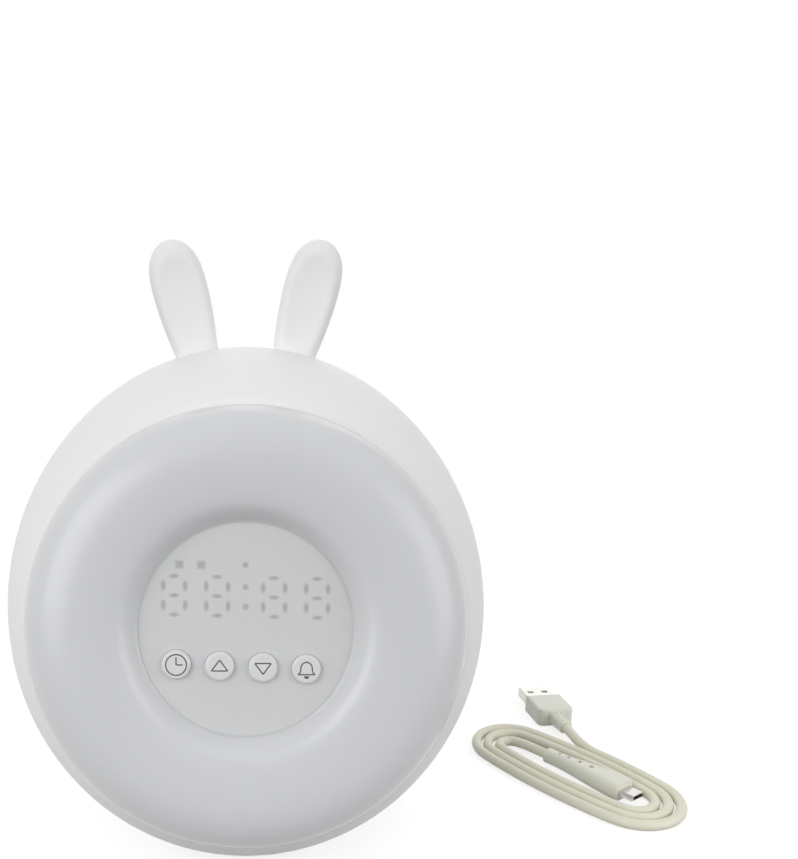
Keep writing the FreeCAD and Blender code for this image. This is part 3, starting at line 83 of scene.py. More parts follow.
def finish_named(name, code, roughness, **sockets):
    """A new material with its shader and its object coordinates."""
    made = bpy.data.materials.new(name)
    made.use_nodes = True
    tree = made.node_tree
    shader = tree.nodes["Principled BSDF"]
    shader.inputs["Base Color"].default_value = linear(code)
    shader.inputs["Roughness"].default_value = roughness
    for socket, value in sockets.items():
        shader.inputs[socket.replace("_", " ")].default_value = value
    return made, tree, shader, add(tree, "ShaderNodeTexCoord").outputs["Object"]


def grained(tree, shader, place, size_mm, strength, depth_mm):
    """A fine moulded grain as bump, with its grains at a real size."""
    noise = add(tree, "ShaderNodeTexNoise", {"Vector": place, "Scale": 1 / (size_mm * MM), "Detail": 2.0})
    relief = {"Height": noise.outputs["Fac"], "Strength": strength, "Distance": depth_mm * MM}
    bump = add(tree, "ShaderNodeBump", relief)
    tree.links.new(bump.outputs["Normal"], shader.inputs["Normal"])
    return noise


def seen_directly(tree):
    """A socket that is one where the room is looked at, straight, mirrored or through a clear piece."""
    path = add(tree, "ShaderNodeLightPath").outputs
    straight = {0: path["Is Camera Ray"], 1: path["Is Glossy Ray"]}
    both = add(tree, "ShaderNodeMath", straight, operation="MAXIMUM")
    through = {0: both.outputs[0], 1: path["Is Transmission Ray"]}
    return add(tree, "ShaderNodeMath", through, operation="MAXIMUM").outputs[0]


camera = bpy.data.objects.new("camera", bpy.data.cameras.new("camera"))
scene.collection.objects.link(camera)
camera.location = CAMERA_PLACE
camera.rotation_euler = (math.radians(90 - CAMERA_TILT), 0, 0)
camera.data.lens = CAMERA_FOCAL
camera.data.sensor_width = 36
camera.data.shift_x, camera.data.shift_y = CAMERA_SHIFT
camera.data.clip_start = 0.01
scene.camera = camera
scene.view_settings.view_transform = "Standard"

# Matte card: it keeps the object's soft shadow near it and fades to plain white further off
card, tree, shader, place = finish_named("matte white card", "#A8A8A8", 0.9, Specular_IOR_Level=0.1)
seen = seen_directly(tree)
lift = add(tree, "ShaderNodeMath", {0: seen, 1: FLOOR_GLOW}, operation="MULTIPLY")
near = add(tree, "ShaderNodeEmission", {"Color": (1, 1, 1, 1), "Strength": lift.outputs[0]})
both = add(tree, "ShaderNodeAddShader", {0: shader.outputs[0], 1: near.outputs[0]})
far = add(tree, "ShaderNodeEmission", {"Color": (1, 1, 1, 1), "Strength": seen})
reach = add(tree, "ShaderNodeVectorMath", {0: place}, operation="LENGTH").outputs["Value"]
span = {"Value": reach, "From Min": SHADOW_REACH[0], "From Max": SHADOW_REACH[1]}
fade = add(tree, "ShaderNodeMapRange", span, interpolation_type="SMOOTHSTEP")
blend = add(tree, "ShaderNodeMixShader", {0: fade.outputs[0], 1: both.outputs[0], 2: far.outputs[0]})
tree.links.new(blend.outputs[0], tree.nodes["Material Output"].inputs["Surface"])
bm = bmesh.new()
bmesh.ops.create_grid(bm, x_segments=2, y_segments=2, size=FLOOR_HALF_SIZE)
mesh = bpy.data.meshes.new("floor")
bm.to_mesh(mesh)
floor = bpy.data.objects.new("floor", mesh)
scene.collection.objects.link(floor)
mesh.materials.append(card)

world = bpy.data.worlds.new("white room")
world.use_nodes = True
scene.world = world
tree = world.node_tree
level = add(tree, "ShaderNodeMapRange", {"Value": seen_directly(tree), "To Min": ROOM_LIGHT, "To Max": 1.0})
tree.links.new(level.outputs[0], tree.nodes["Background"].inputs["Strength"])
tree.nodes["Background"].inputs["Color"].default_value = (1, 1, 1, 1)

for name, spot, size, watts in SOFTBOXES:
    lamp = bpy.data.objects.new(name, bpy.data.lights.new(name, "AREA"))
    lamp.data.size = size
    lamp.data.energy = watts
    lamp.location = spot
    lamp.rotation_euler = (SUBJECT - Vector(spot)).to_track_quat("-Z", "Y").to_euler()
    scene.collection.objects.link(lamp)

# Charging cable: a limp ivory PVC sheath, wound by hand into a flat spiral of long turns. One end
# runs up into the large plug's relief, the other turns back tightly inside into the small plug.
CORD_D = 3.8
CORD_GAP = 0.6
HANK_TURNS = 2.5
HANK_CENTRE = (122.0, 43.0)
HANK_ANGLE = math.radians(-55.0)
HANK_HALF_LENGTH = 44.0
HANK_HALF_WIDTH = 20.0
HANK_SIDE_BEND = math.radians(8.0)
HANK_END_ACROSS = -9.0
LEAD_A = [
    (-6.0, 20.0, 1.9),
    (-11.9, 21.0, 2.7),
    (-17.5, 23.1, 3.8),
    (-21.9, 25.5, 3.8),
]
LEAD_B = [
    (-9.5, -9.0, 1.9),
    (-19.0, -7.9, 1.9),
    (-27.6, -7.0, 1.9),
    (-30.6, -4.2, 1.9),
    (-30.6, -0.5, 1.9),
    (-27.8, 2.2, 2.1),
    (-20.0, 2.2, 2.8),
    (-12.0, 2.2, 2.8),
]


def on_hank(along, across, height):
    """A point along and across the hank, in metres on the floor."""
    axis = Vector((math.cos(HANK_ANGLE), math.sin(HANK_ANGLE), 0))
    side = Vector((-axis.y, axis.x, 0))
    spot = axis * along + side * across + Vector((*HANK_CENTRE, height))
    return spot * MM


def hank_points():
    """Points of the hank's quarter turns, each a long side and a round end, stepping inwards."""
    step = (CORD_D + CORD_GAP) / 4
    spread = math.sin(HANK_SIDE_BEND) + math.cos(HANK_SIDE_BEND) - 1
    spot = Vector((0.0, HANK_HALF_WIDTH))
    heading = 0.0
    points = []
    for quarter in range(int(HANK_TURNS * 4)):
        odd = quarter % 2
        length = HANK_HALF_LENGTH - step * (quarter + 1 - odd)
        width = HANK_HALF_WIDTH - step * (quarter + odd)
        side = (length * math.cos(HANK_SIDE_BEND) - width * (1 - math.sin(HANK_SIDE_BEND))) / spread
        end = (width * math.sin(HANK_SIDE_BEND) - length * (1 - math.cos(HANK_SIDE_BEND))) / spread
        arcs = [(side, HANK_SIDE_BEND, 2), (end, math.pi / 2 - HANK_SIDE_BEND, 5)]
        for radius, turn, parts in reversed(arcs) if odd else arcs:
            corner = radius / math.cos(turn / parts / 2)
            centre = spot + Vector((math.sin(heading), -math.cos(heading))) * radius
            for part in range(parts):
                out = heading + math.pi / 2 - turn * (part + 0.5) / parts
                points.append(centre + Vector((math.cos(out), math.sin(out))) * corner)
            out = heading + math.pi / 2 - turn
            spot = centre + Vector((math.cos(out), math.sin(out))) * radius
            heading -= turn
    return [(p.x, p.y, CORD_D / 2) for p in points]


route = list(reversed(LEAD_A)) + [(0.0, HANK_HALF_WIDTH, CORD_D / 2)] + hank_points()
route += [(0.0, HANK_END_ACROSS, CORD_D / 2)] + LEAD_B
curve = bpy.data.curves.new("cord", "CURVE")
curve.dimensions = "3D"
spline = curve.splines.new("NURBS")
spline.points.add(len(route) - 1)
for point, spot in zip(spline.points, route):
    point.co = (*on_hank(*spot), 1.0)
spline.order_u = 3
spline.use_endpoint_u = True
spline.resolution_u = 8
curve.bevel_depth = CORD_D / 2 * MM
curve.bevel_resolution = 6
curve.use_fill_caps = True
cord = bpy.data.objects.new("cord", curve)
scene.collection.objects.link(cord)
# PVC sheath, extruded: ivory, a little translucent, with a soft satin shine
sheath, tree, shader, place = finish_named(
    "extruded ivory PVC", "#E3E1CE", 0.42,
    Subsurface_Weight=0.15, Subsurface_Radius=(0.8, 0.7, 0.5), Subsurface_Scale=1.0 * MM,
)
grained(tree, shader, place, 0.9, 0.12, 0.05)
curve.materials.append(sheath)
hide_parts("cable_hank", "cable_lead_a", "cable_lead_b")
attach(cord, "clock")

# Rear shell: one injection-moulded ABS egg with a fine matte texture. Its sections parallel to the
# face are ellipses, and its open mouth meets the diffuser in a hairline joint.
LEAN = math.radians(14.0)
STAND = Matrix.Scale(MM, 4) @ Matrix.Translation((0, -18.33, 82.7)) @ Matrix.Rotation(-LEAN, 4, "X")
SEAM_R = 65.5
BODY_HALF_WIDTH = 76.7
BODY_DEPTH_SEMI = 60.5
BODY_EXTRA_HEIGHT = 5.7
BACK_LIP_R = 36.0
HUB_RISE = 15.1
DISH_START_R = 32.6
SHELL_WALL = 2.2
SEAM_EASE = 0.25
LIP_ROUND_R = 35.6
LIP_ROUND_DROP = 0.12
LIP_FLAT_R = 34.4
MOUTH_R = 33.5
OUTER_STEPS = 40
INNER_STEPS = 24
SEAM_ANGLE = math.asin(SEAM_R / BODY_HALF_WIDTH)
LIP_ANGLE = math.pi - math.asin(BACK_LIP_R / BODY_HALF_WIDTH)
BODY_DEPTH = BODY_DEPTH_SEMI * (math.cos(SEAM_ANGLE) - math.cos(LIP_ANGLE))


def station(angle, inset=0.0):
    """Matrix that lays a unit circle on the shell's section at a polar angle."""
    across = BODY_DEPTH_SEMI * math.sin(angle)
    along = -BODY_HALF_WIDTH * math.cos(angle)
    slope = math.hypot(across, along)
    depth = BODY_DEPTH_SEMI * (math.cos(SEAM_ANGLE) - math.cos(angle)) - inset * along / slope
    half = BODY_HALF_WIDTH * math.sin(angle) - inset * across / slope
    share = (angle - SEAM_ANGLE) / (LIP_ANGLE - SEAM_ANGLE)
    swell = BODY_EXTRA_HEIGHT * math.sin(math.pi * min(max(share, 0.0), 1.0))
    return section(depth, half, half + swell, HUB_RISE * depth / BODY_DEPTH)


def section(depth, half_width, half_height, rise):
    """Matrix that lays a unit circle upright at a depth, with its half width and half height."""
    lay = Matrix.Diagonal((half_width, 1, half_height, 1)) @ Matrix.Rotation(math.pi / 2, 4, "X")
    return Matrix.Translation((0, depth, rise)) @ lay


def skinned(sections, segments):
    """A bmesh tube: one circle extruded from section to section."""
    bm = bmesh.new()
    made = bmesh.ops.create_circle(bm, segments=segments, radius=1)
    ring = made["verts"]
    bmesh.ops.transform(bm, matrix=sections[0], verts=ring)
    before = sections[0]
    for after in sections[1:]:
        edges = [e for e in bm.edges if e.verts[0] in ring and e.verts[1] in ring]
        grown = bmesh.ops.extrude_edge_only(bm, edges=edges)["geom"]
        ring = [v for v in grown if isinstance(v, bmesh.types.BMVert)]
        bmesh.ops.transform(bm, matrix=after @ before.inverted(), verts=ring)
        before = after
    return bm


def stand_piece(name, bm, material, body="clock", smooth=40, place=STAND):
    """A finished piece from a bmesh drawn upright in millimetres: leaned, shaded and riding."""
    bmesh.ops.recalc_face_normals(bm, faces=bm.faces)
    bm.transform(place)
    for face in bm.faces:
        face.smooth = True
    for edge in bm.edges:
        edge.smooth = len(edge.link_faces) == 2 and edge.calc_face_angle() < math.radians(smooth)
    mesh = bpy.data.meshes.new(name)
    bm.to_mesh(mesh)
    bm.free()
    mesh.materials.append(material)
    made = bpy.data.objects.new(name, mesh)
    scene.collection.objects.link(made)
    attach(made, body)
    return made


# Matte ABS from a spark-textured mould: an even soft white that spreads highlights wide. Its grain
# is drawn three or four times as coarse as the real one, so that it shows at this distance.
matte_abs, tree, shader, place = finish_named(
    "spark-textured white ABS", "#E9E9EA", 0.55, Subsurface_Weight=0.06, Subsurface_Scale=2.0 * MM,
)
grained(tree, shader, place, 0.45, 0.10, 0.03)

first_turn = SEAM_ANGLE + 0.01
last_turn = LIP_ANGLE - 0.025
outer = [station(SEAM_ANGLE + 0.004, SEAM_EASE)]
for step in range(OUTER_STEPS + 1):
    outer.append(station(first_turn + (last_turn - first_turn) * step / OUTER_STEPS))
outer.append(section(BODY_DEPTH - LIP_ROUND_DROP, LIP_ROUND_R, LIP_ROUND_R, HUB_RISE))
outer += [section(BODY_DEPTH, radius, radius, HUB_RISE) for radius in (LIP_FLAT_R, MOUTH_R)]
inner = [section(BODY_DEPTH - SHELL_WALL, MOUTH_R, MOUTH_R, HUB_RISE)]
for step in range(INNER_STEPS + 1):
    inner.append(station(LIP_ANGLE - (LIP_ANGLE - SEAM_ANGLE) * step / INNER_STEPS, SHELL_WALL))
bm = skinned(outer + inner, 144)
rims = [e for e in bm.edges if e.is_boundary]
bmesh.ops.bridge_loops(bm, edges=rims)
shell = stand_piece("shell_skin", bm, matte_abs, smooth=60)

# Grille: forty-five bars of one width stand round the hub on a dished surface, moulded in one with
# the shell. The slots between them widen outwards and ramp up to the plain border.
SLOT_COUNT = 45
BAR_WIDTH = 1.65
BAR_DEPTH = 3.2
DISH_DEPTH = 7.6
DISH_END_R = 18.9
RING_WIDTH = 2.6
RING_HEIGHT = 12.2
BAR_MIDDLE_R = 26.0
BAR_HALF_LENGTH = 7.9
BAR_EDGE = 0.28
SPIN_STEPS = 128
DISH_RADIUS = ((DISH_START_R - DISH_END_R) ** 2 + DISH_DEPTH ** 2) / (2 * DISH_DEPTH)


def dish(radius):
    """Depth of the dished surface at a radius."""
    return BODY_DEPTH - DISH_RADIUS + math.sqrt(DISH_RADIUS ** 2 - (DISH_START_R - radius) ** 2)


def turned_up(profile, steps, rise=0.0, closed=False):
    """A bmesh spun round the depth axis from a profile of (radius, depth) pairs."""
    bm = bmesh.new()
    verts = [bm.verts.new((radius, depth, 0)) for radius, depth in profile]
    edges = [bm.edges.new(pair) for pair in zip(verts, verts[1:])]
    if closed:
        edges.append(bm.edges.new((verts[-1], verts[0])))
    bmesh.ops.spin(
        bm, geom=verts + edges, cent=(0, 0, 0), axis=(0, 1, 0), angle=math.tau, steps=steps, use_merge=True,
    )
    bmesh.ops.remove_doubles(bm, verts=bm.verts, dist=0.0005)
    bmesh.ops.translate(bm, verts=bm.verts, vec=(0, 0, rise))
    return bm


bm = bmesh.new()
bmesh.ops.create_grid(bm, x_segments=1, y_segments=14, size=1)
bmesh.ops.recalc_face_normals(bm, faces=bm.faces)
for vert in bm.verts:
    radius = BAR_MIDDLE_R + vert.co.y * BAR_HALF_LENGTH
    vert.co = (vert.co.x * BAR_WIDTH / 2, dish(min(radius, DISH_START_R)), radius)
grown = bmesh.ops.extrude_face_region(bm, geom=list(bm.faces))["geom"]
deep = [v for v in grown if isinstance(v, bmesh.types.BMVert)]
bmesh.ops.translate(bm, verts=deep, vec=(0, -BAR_DEPTH, 0))
bmesh.ops.remove_doubles(bm, verts=bm.verts, dist=0.0005)
sharp = [e for e in bm.edges if len(e.link_faces) == 2 and e.calc_face_angle() > 1.0]
bmesh.ops.bevel(bm, geom=sharp, offset=BAR_EDGE, segments=2, profile=0.5, affect="EDGES", material=-1)
bmesh.ops.spin(
    bm, geom=list(bm.verts) + list(bm.edges) + list(bm.faces), cent=(0, 0, 0), axis=(0, 1, 0),
    angle=math.tau * (SLOT_COUNT - 1) / SLOT_COUNT, steps=SLOT_COUNT - 1, use_duplicate=True,
)
bmesh.ops.translate(bm, verts=bm.verts, vec=(0, 0, HUB_RISE))
stand_piece("grille_bars", bm, matte_abs)

ring_out = DISH_END_R + RING_WIDTH
seat = BODY_DEPTH - RING_HEIGHT
profile = [
    (DISH_END_R, seat), (DISH_END_R, dish(DISH_END_R) - 0.9), (DISH_END_R + 0.3, dish(DISH_END_R) - 0.6),
    (ring_out - 0.9, dish(ring_out) - 0.7), (ring_out, dish(ring_out) - 1.8), (ring_out, seat),
]
bm = turned_up(profile, SPIN_STEPS, HUB_RISE, closed=True)
stand_piece("grille_ring", bm, matte_abs)
border = BODY_DEPTH - BAR_DEPTH
profile = [
    (LIP_FLAT_R - 0.1, BODY_DEPTH), (MOUTH_R, BODY_DEPTH - 0.02), (MOUTH_R - 0.6, BODY_DEPTH - 0.5),
    (30.6, border), (32.0, border - 0.6), (LIP_FLAT_R - 0.1, border - 0.6),
]
bm = turned_up(profile, SPIN_STEPS, HUB_RISE, closed=True)
stand_piece("grille_border", bm, matte_abs)
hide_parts("rear_shell")

# Diffuser: a blow-smooth opal lens ring with a soft crest, whose inner lip rolls over into the
# recess of the display. Light from behind spreads in its milky wall.
DIFFUSER_FACE = [
    (65.4, 0.0), (65.3, -2.6), (64.7, -5.1), (63.3, -8.1), (61.1, -10.65), (58.4, -12.6), (55.8, -13.85),
    (52.8, -14.7), (49.5, -15.0), (46.2, -14.95), (43.0, -14.7), (39.8, -14.3), (36.8, -13.6),
    (35.5, -12.95), (34.45, -12.0), (33.5, -11.05), (32.6, -10.0), (32.0, -9.2), (31.6, -8.8),
    (31.2, -8.6), (30.9, -8.52),
]
DIFFUSER_BACK = [
    (31.1, -8.3), (31.65, -7.0), (29.55, -7.0), (29.55, -5.4), (33.65, -5.4), (34.9, -9.8), (37.2, -11.5),
    (42.0, -12.7), (49.5, -13.0), (55.0, -11.9), (60.7, -7.4), (60.7, 2.0), (62.3, 2.0), (62.3, 0.0),
]
# Opal polycarbonate, satin: pale grey with light that sinks in and comes out softened
opal, tree, shader, place = finish_named(
    "satin opal polycarbonate", "#D3D4D6", 0.32,
    Subsurface_Weight=0.35, Subsurface_Radius=(1.0, 1.0, 1.0), Subsurface_Scale=6.0 * MM,
    Coat_Weight=0.15, Coat_Roughness=0.25,
)
grained(tree, shader, place, 1.2, 0.04, 0.03)

bm = turned_up(DIFFUSER_FACE + DIFFUSER_BACK, 160, closed=True)
diffuser = stand_piece("diffuser_ring", bm, opal, smooth=50)
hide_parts("diffuser")

# Display window: an opal disc pressed into the recess, with a hole for each button. The shade of the unlit
# segments behind it is painted on its face as faint grey figures with soft edges.
WINDOW_R = 31.0
WINDOW_FACE = -8.5
WINDOW_THICK = 1.5
BUTTON_R = 4.25
BUTTON_GAP = 0.07
BUTTON_PITCH = 12.5
BUTTON_ROW_OFFSET = -1.25
BUTTON_DROP = 10.7
BUTTON_ROW_SLOPE = 0.035
BUTTON_ROW = []
for step in (-1.5, -0.5, 0.5, 1.5):
    along = BUTTON_PITCH * step
    BUTTON_ROW.append((BUTTON_ROW_OFFSET + along, -BUTTON_DROP - along * BUTTON_ROW_SLOPE))

rounds = [(0, 0, WINDOW_R, 128)]
rounds += [(x, rise, BUTTON_R + BUTTON_GAP, 48) for x, rise in BUTTON_ROW]
bm = bmesh.new()
for x, rise, radius, segments in rounds:
    lay = Matrix.Translation((x, WINDOW_FACE, rise)) @ Matrix.Rotation(math.pi / 2, 4, "X")
    bmesh.ops.create_circle(bm, segments=segments, radius=radius, matrix=lay)
bmesh.ops.triangle_fill(bm, edges=bm.edges, use_beauty=True, use_dissolve=False)
grown = bmesh.ops.extrude_face_region(bm, geom=list(bm.faces))["geom"]
deep = [v for v in grown if isinstance(v, bmesh.types.BMVert)]
bmesh.ops.translate(bm, verts=deep, vec=(0, WINDOW_THICK, 0))
# Frosted opal sheet: flatter and duller than the lens round it
haze, tree, shader, place = finish_named(
    "frosted opal sheet", "#D1D1D2", 0.5, Subsurface_Weight=0.2, Subsurface_Scale=3.0 * MM,
)
grained(tree, shader, place, 0.6, 0.05, 0.02)
window = stand_piece("display_pane", bm, haze)
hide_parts("display_window")

DIGIT_TALL = 5.6
DIGIT_WIDE = 3.15
DIGIT_RISE = 9.45
DIGIT_SLANT = -0.022
DIGIT_CENTRES = (-20.6, -8.2, 8.2, 20.6)
UPRIGHT = (4.4, 2.1)
LEVEL = (4.2, 1.8)
FLAG_SIDE = 3.4
DOT_D = 2.6
FIGURE_RISE = 0.02
COLON_AND_DOT = (6.6, 12.3, 18.7)
FLAG_PLACES = (-19.1, -12.8)
FLAG_RISE = 18.4


def soft_mark(bm, layer, x, rise, length, width, turn, corners):
    """One flat mark of painted shade on the window's face, full in its middle and fading to its rim."""
    spot = Matrix.Translation((x, WINDOW_FACE - FIGURE_RISE, rise + DIGIT_SLANT * x))
    spot @= Matrix.Rotation(turn, 4, "Y")
    shape = spot @ Matrix.Diagonal((length, 1, width, 1)) @ Matrix.Rotation(math.pi / 2, 4, "X")
    made = bmesh.ops.create_circle(
        bm, segments=corners, radius=0.5, cap_ends=True, cap_tris=True, matrix=shape,
    )
    fan = {vert for rim in made["verts"] for face in rim.link_faces for vert in face.verts}
    middle = max(fan, key=lambda vert: len(vert.link_faces))
    middle[layer] = 1.0


# Painted shade: faint grey figures laid on the pane's face where the unlit segments lie behind it
bm = bmesh.new()
fade = bm.verts.layers.float.new("fade")
for centre in DIGIT_CENTRES:
    for level in (-1, 0, 1):
        soft_mark(bm, fade, centre, DIGIT_RISE + level * DIGIT_TALL, *LEVEL, 0, 24)
    for side in (-1, 1):
        for half in (-0.5, 0.5):
            x = centre + side * DIGIT_WIDE
            soft_mark(bm, fade, x, DIGIT_RISE + half * DIGIT_TALL, *UPRIGHT, math.pi / 2, 24)
for rise in COLON_AND_DOT:
    soft_mark(bm, fade, 0, rise, DOT_D, DOT_D, 0, 24)
flag_diagonal = FLAG_SIDE * math.sqrt(2)
for x in FLAG_PLACES:
    soft_mark(bm, fade, x, FLAG_RISE, flag_diagonal, flag_diagonal, math.pi / 4, 4)
# Painted shade of the unlit segments behind the frost: a thin grey haze, thickest in the middle of each
# mark
painted_shade, tree, shader, place = finish_named("painted shade of unlit segments", "#A9A9AB", 0.5)
mark = add(tree, "ShaderNodeAttribute", attribute_name="fade")
soften = {"Value": mark.outputs["Fac"], "From Max": 0.75, "To Max": 0.34}
level = add(tree, "ShaderNodeMapRange", soften, interpolation_type="SMOOTHSTEP")
tree.links.new(level.outputs[0], shader.inputs["Alpha"])
stand_piece("painted_segment_shade", bm, painted_shade)

# Front buttons: four small glossy caps with dark grey icons printed on them, a clock face, a
# triangle up, a triangle down and a bell. Each cap stands a little proud of the window.
BUTTON_FACE = WINDOW_FACE - 1.4
LINE_R = 0.19
CAP_EDGE_R = 0.75
CAP_FLAT_R = 3.0
FLANGE_R = 4.95
FLANGE_FRONT = 0.2
FLANGE_BACK = 1.0
STEM_R = 1.5
STEM_END = 2.0
# Polished ABS: a bright, tight shine along the cap's round edge
gloss, tree, shader, place = finish_named(
    "polished white ABS", "#DADADB", 0.28, Subsurface_Weight=0.05, Subsurface_Scale=1.0 * MM,
)
grained(tree, shader, place, 0.8, 0.03, 0.02)
# Pad-printed ink: matt, dark grey, with a crisp line
ink, tree, shader, place = finish_named("dark grey pad-printed ink", "#4C4C4E", 0.5)
grained(tree, shader, place, 0.3, 0.08, 0.01)


def round_line(radius, start=0.0, end=math.tau, parts=24, rise=0.0):
    """Points of an arc in the face's plane, from one angle to another."""
    steps = [start + (end - start) * i / parts for i in range(parts + 1)]
    return [(radius * math.cos(a), rise + radius * math.sin(a)) for a in steps]


def printed(name, strokes, place, material, body, flat=0.12, line=LINE_R):
    """Lines of ink as one thin mesh: round strokes pressed nearly flat on a surface."""
    curve = bpy.data.curves.new(name, "CURVE")
    curve.dimensions = "3D"
    for stroke in strokes:
        closed = math.dist(stroke[0], stroke[-1]) < 0.01
        points = stroke[:-1] if closed else stroke
        spline = curve.splines.new("POLY")
        spline.points.add(len(points) - 1)
        for point, (x, rise) in zip(spline.points, points):
            point.co = (x, 0, rise, 1)
        spline.use_cyclic_u = closed
    curve.bevel_depth = line
    curve.bevel_resolution = 2
    curve.use_fill_caps = True
    drawn = bpy.data.objects.new(name, curve)
    scene.collection.objects.link(drawn)
    bpy.context.view_layer.update()
    mesh = bpy.data.meshes.new_from_object(drawn.evaluated_get(bpy.context.evaluated_depsgraph_get()))
    bpy.data.objects.remove(drawn)
    bm = bmesh.new()
    bm.from_mesh(mesh)
    bpy.data.meshes.remove(mesh)
    bmesh.ops.scale(bm, vec=(1, flat, 1), verts=bm.verts)
    return stand_piece(name + "_line", bm, material, body, place=place)


UP_CORNERS = [(0, 1.85), (-2.35, -1.3), (2.35, -1.3)]
up = [[UP_CORNERS[i], UP_CORNERS[(i + 1) % 3]] for i in range(3)]
dome = round_line(1.6, math.pi * 0.95, math.pi * 0.05, 14, rise=0.45)
bell = [(-2.4, -1.5), (-1.75, -0.75)] + dome + [(1.75, -0.75), (2.4, -1.5)]
clapper = [round_line(r, math.pi, math.tau, 8, rise=-1.95) for r in (0.25, 0.6)]
ICONS = {
    "clock_button": [round_line(3.0), [(0, 2.2), (0, 0)], [(0, 0), (1.9, 0)]],
    "up_button": up,
    "down_button": [[(x, -rise) for x, rise in line] for line in up],
    "alarm_button": [bell, [(-2.45, -1.5), (2.45, -1.5)], [(0, 2.05), (0, 2.35)]] + clapper,
}
for (node, strokes), (x, rise) in zip(ICONS.items(), BUTTON_ROW):
    profile = [(0, BUTTON_FACE), (CAP_FLAT_R, BUTTON_FACE)]
    for turn in (0, 0.4, 0.8, 1.2, math.pi / 2):
        out = BUTTON_R - CAP_EDGE_R * (1 - math.sin(turn))
        profile.append((out, BUTTON_FACE + CAP_EDGE_R * (1 - math.cos(turn))))
    profile += [(BUTTON_R, FLANGE_FRONT), (FLANGE_R, FLANGE_FRONT), (FLANGE_R, FLANGE_BACK)]
    profile += [(STEM_R, FLANGE_BACK), (STEM_R, STEM_END), (0, STEM_END)]
    bm = turned_up(profile, 64, rise)
    bmesh.ops.translate(bm, verts=bm.verts, vec=(x, 0, 0))
    cap = stand_piece(node + "_cap", bm, gloss, node, smooth=50)
    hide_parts(node)
    at_face = STAND @ Matrix.Translation((x, BUTTON_FACE, rise))
    printed(node, strokes, at_face, ink, node)

# Ears: soft flat paddles with a shallow dish in front, each moulded whole and pressed into a
# socket in the shell's crown.
EAR_BASE = (15.4, 38.6, 84.0)
EAR_SPLAY = math.radians(15.0)
EAR_LENGTH = 41.0
EAR_WIDEST = 24.6
EAR_HALF_WIDTH = 9.1
EAR_ROOT_HALF_WIDTH = 6.7
EAR_FLATNESS = 0.68
EAR_DISH_R = 26.0
EAR_DISH_MIDDLE = 16.5
EAR_DISH_REACH = 19.5
EAR_DISH_CLOSE = 2.4
EAR_DISH_DEPTH = 3.0
EAR_DISH_FLOOR = EAR_DISH_DEPTH - EAR_HALF_WIDTH * EAR_FLATNESS
EAR_RIM_SOFTNESS = 0.7
EAR_RIM_TRIM = 0.12
EAR_DISH_FOOT = (1.0, 4.0)
EAR_FRONT_LIMIT = 0.5
EAR_SPIGOT = 6.0
EAR_TIP_POWER = 2.7
EAR_LOW_STEPS = 20
EAR_HIGH_STEPS = 24


def ear_half_width(height):
    """Half the ear's width at a height above its root."""
    if height < EAR_WIDEST:
        share = max(height, 0) / EAR_WIDEST
        return EAR_ROOT_HALF_WIDTH + (EAR_HALF_WIDTH - EAR_ROOT_HALF_WIDTH) * math.sin(share * math.pi / 2)
    share = (height - EAR_WIDEST) / (EAR_LENGTH - EAR_WIDEST)
    return EAR_HALF_WIDTH * math.sqrt(max(1 - share ** EAR_TIP_POWER, 0.0))


for side, node in ((-1, "ear_left"), (1, "ear_right")):
    low = EAR_WIDEST + EAR_SPIGOT
    high = EAR_LENGTH - EAR_WIDEST
    heights = [low * step / EAR_LOW_STEPS - EAR_SPIGOT for step in range(EAR_LOW_STEPS)]
    for step in range(EAR_HIGH_STEPS):
        heights.append(EAR_WIDEST + high * math.sin(math.pi / 2 * step / EAR_HIGH_STEPS))
    levels = []
    for height in heights:
        half = ear_half_width(height)
        lay = Matrix.Translation((0, 0, height)) @ Matrix.Diagonal((half, half * EAR_FLATNESS, 1, 1))
        levels.append(lay)
    bm = skinned(levels, 72)
    bmesh.ops.holes_fill(bm, edges=[e for e in bm.edges if e.is_boundary])
    for vert in bm.verts:
        reach = abs(vert.co.z - EAR_DISH_MIDDLE) / EAR_DISH_REACH
        across = EAR_DISH_R - math.sqrt(EAR_DISH_R ** 2 - vert.co.x ** 2)
        floor_y = EAR_DISH_FLOOR - across - EAR_DISH_CLOSE * reach ** 3
        over = vert.co.y - floor_y
        soft = (vert.co.y + floor_y + math.hypot(over, EAR_RIM_SOFTNESS)) / 2
        fade_in = min(max((vert.co.z - EAR_DISH_FOOT[0]) / EAR_DISH_FOOT[1], 0.0), 1.0)
        if vert.co.y < EAR_FRONT_LIMIT:
            vert.co.y += max(soft - vert.co.y - EAR_RIM_TRIM, 0.0) * fade_in
    bmesh.ops.rotate(bm, verts=bm.verts, matrix=Matrix.Rotation(side * EAR_SPLAY, 3, "Y"))
    bmesh.ops.translate(bm, verts=bm.verts, vec=(side * EAR_BASE[0], EAR_BASE[1], EAR_BASE[2]))
    ear = stand_piece(node + "_soft", bm, matte_abs, smooth=75)
    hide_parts(node)


# Feet, hub, door, screws, plugs and inner pieces keep the frame's own solids. Those that show get a
# welded copy, so that their curved faces shade as smoothly as moulded ones do.
def welded(node, material, body="clock", smooth=35, bevel=0.0):
    """A smooth-shaded copy of a frame solid, in its place."""
    bm = bmesh.new()
    bm.from_mesh(frame["nodes"][node].data)
    bmesh.ops.remove_doubles(bm, verts=bm.verts, dist=0.000002)
    bmesh.ops.dissolve_limit(bm, angle_limit=0.002, verts=bm.verts, edges=bm.edges)
    made = stand_piece(node + "_finished", bm, material, body, smooth, Matrix.Identity(4))
    if bevel:
        rounding = made.modifiers.new("edges", "BEVEL")
        rounding.width = bevel * MM
        rounding.segments = 2
        rounding.limit_method = "ANGLE"
        rounding.angle_limit = math.radians(50)
        rounding.harden_normals = True
    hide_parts(node)
    return made


for node in ("foot_left", "foot_right"):
    welded(node, matte_abs, smooth=45)
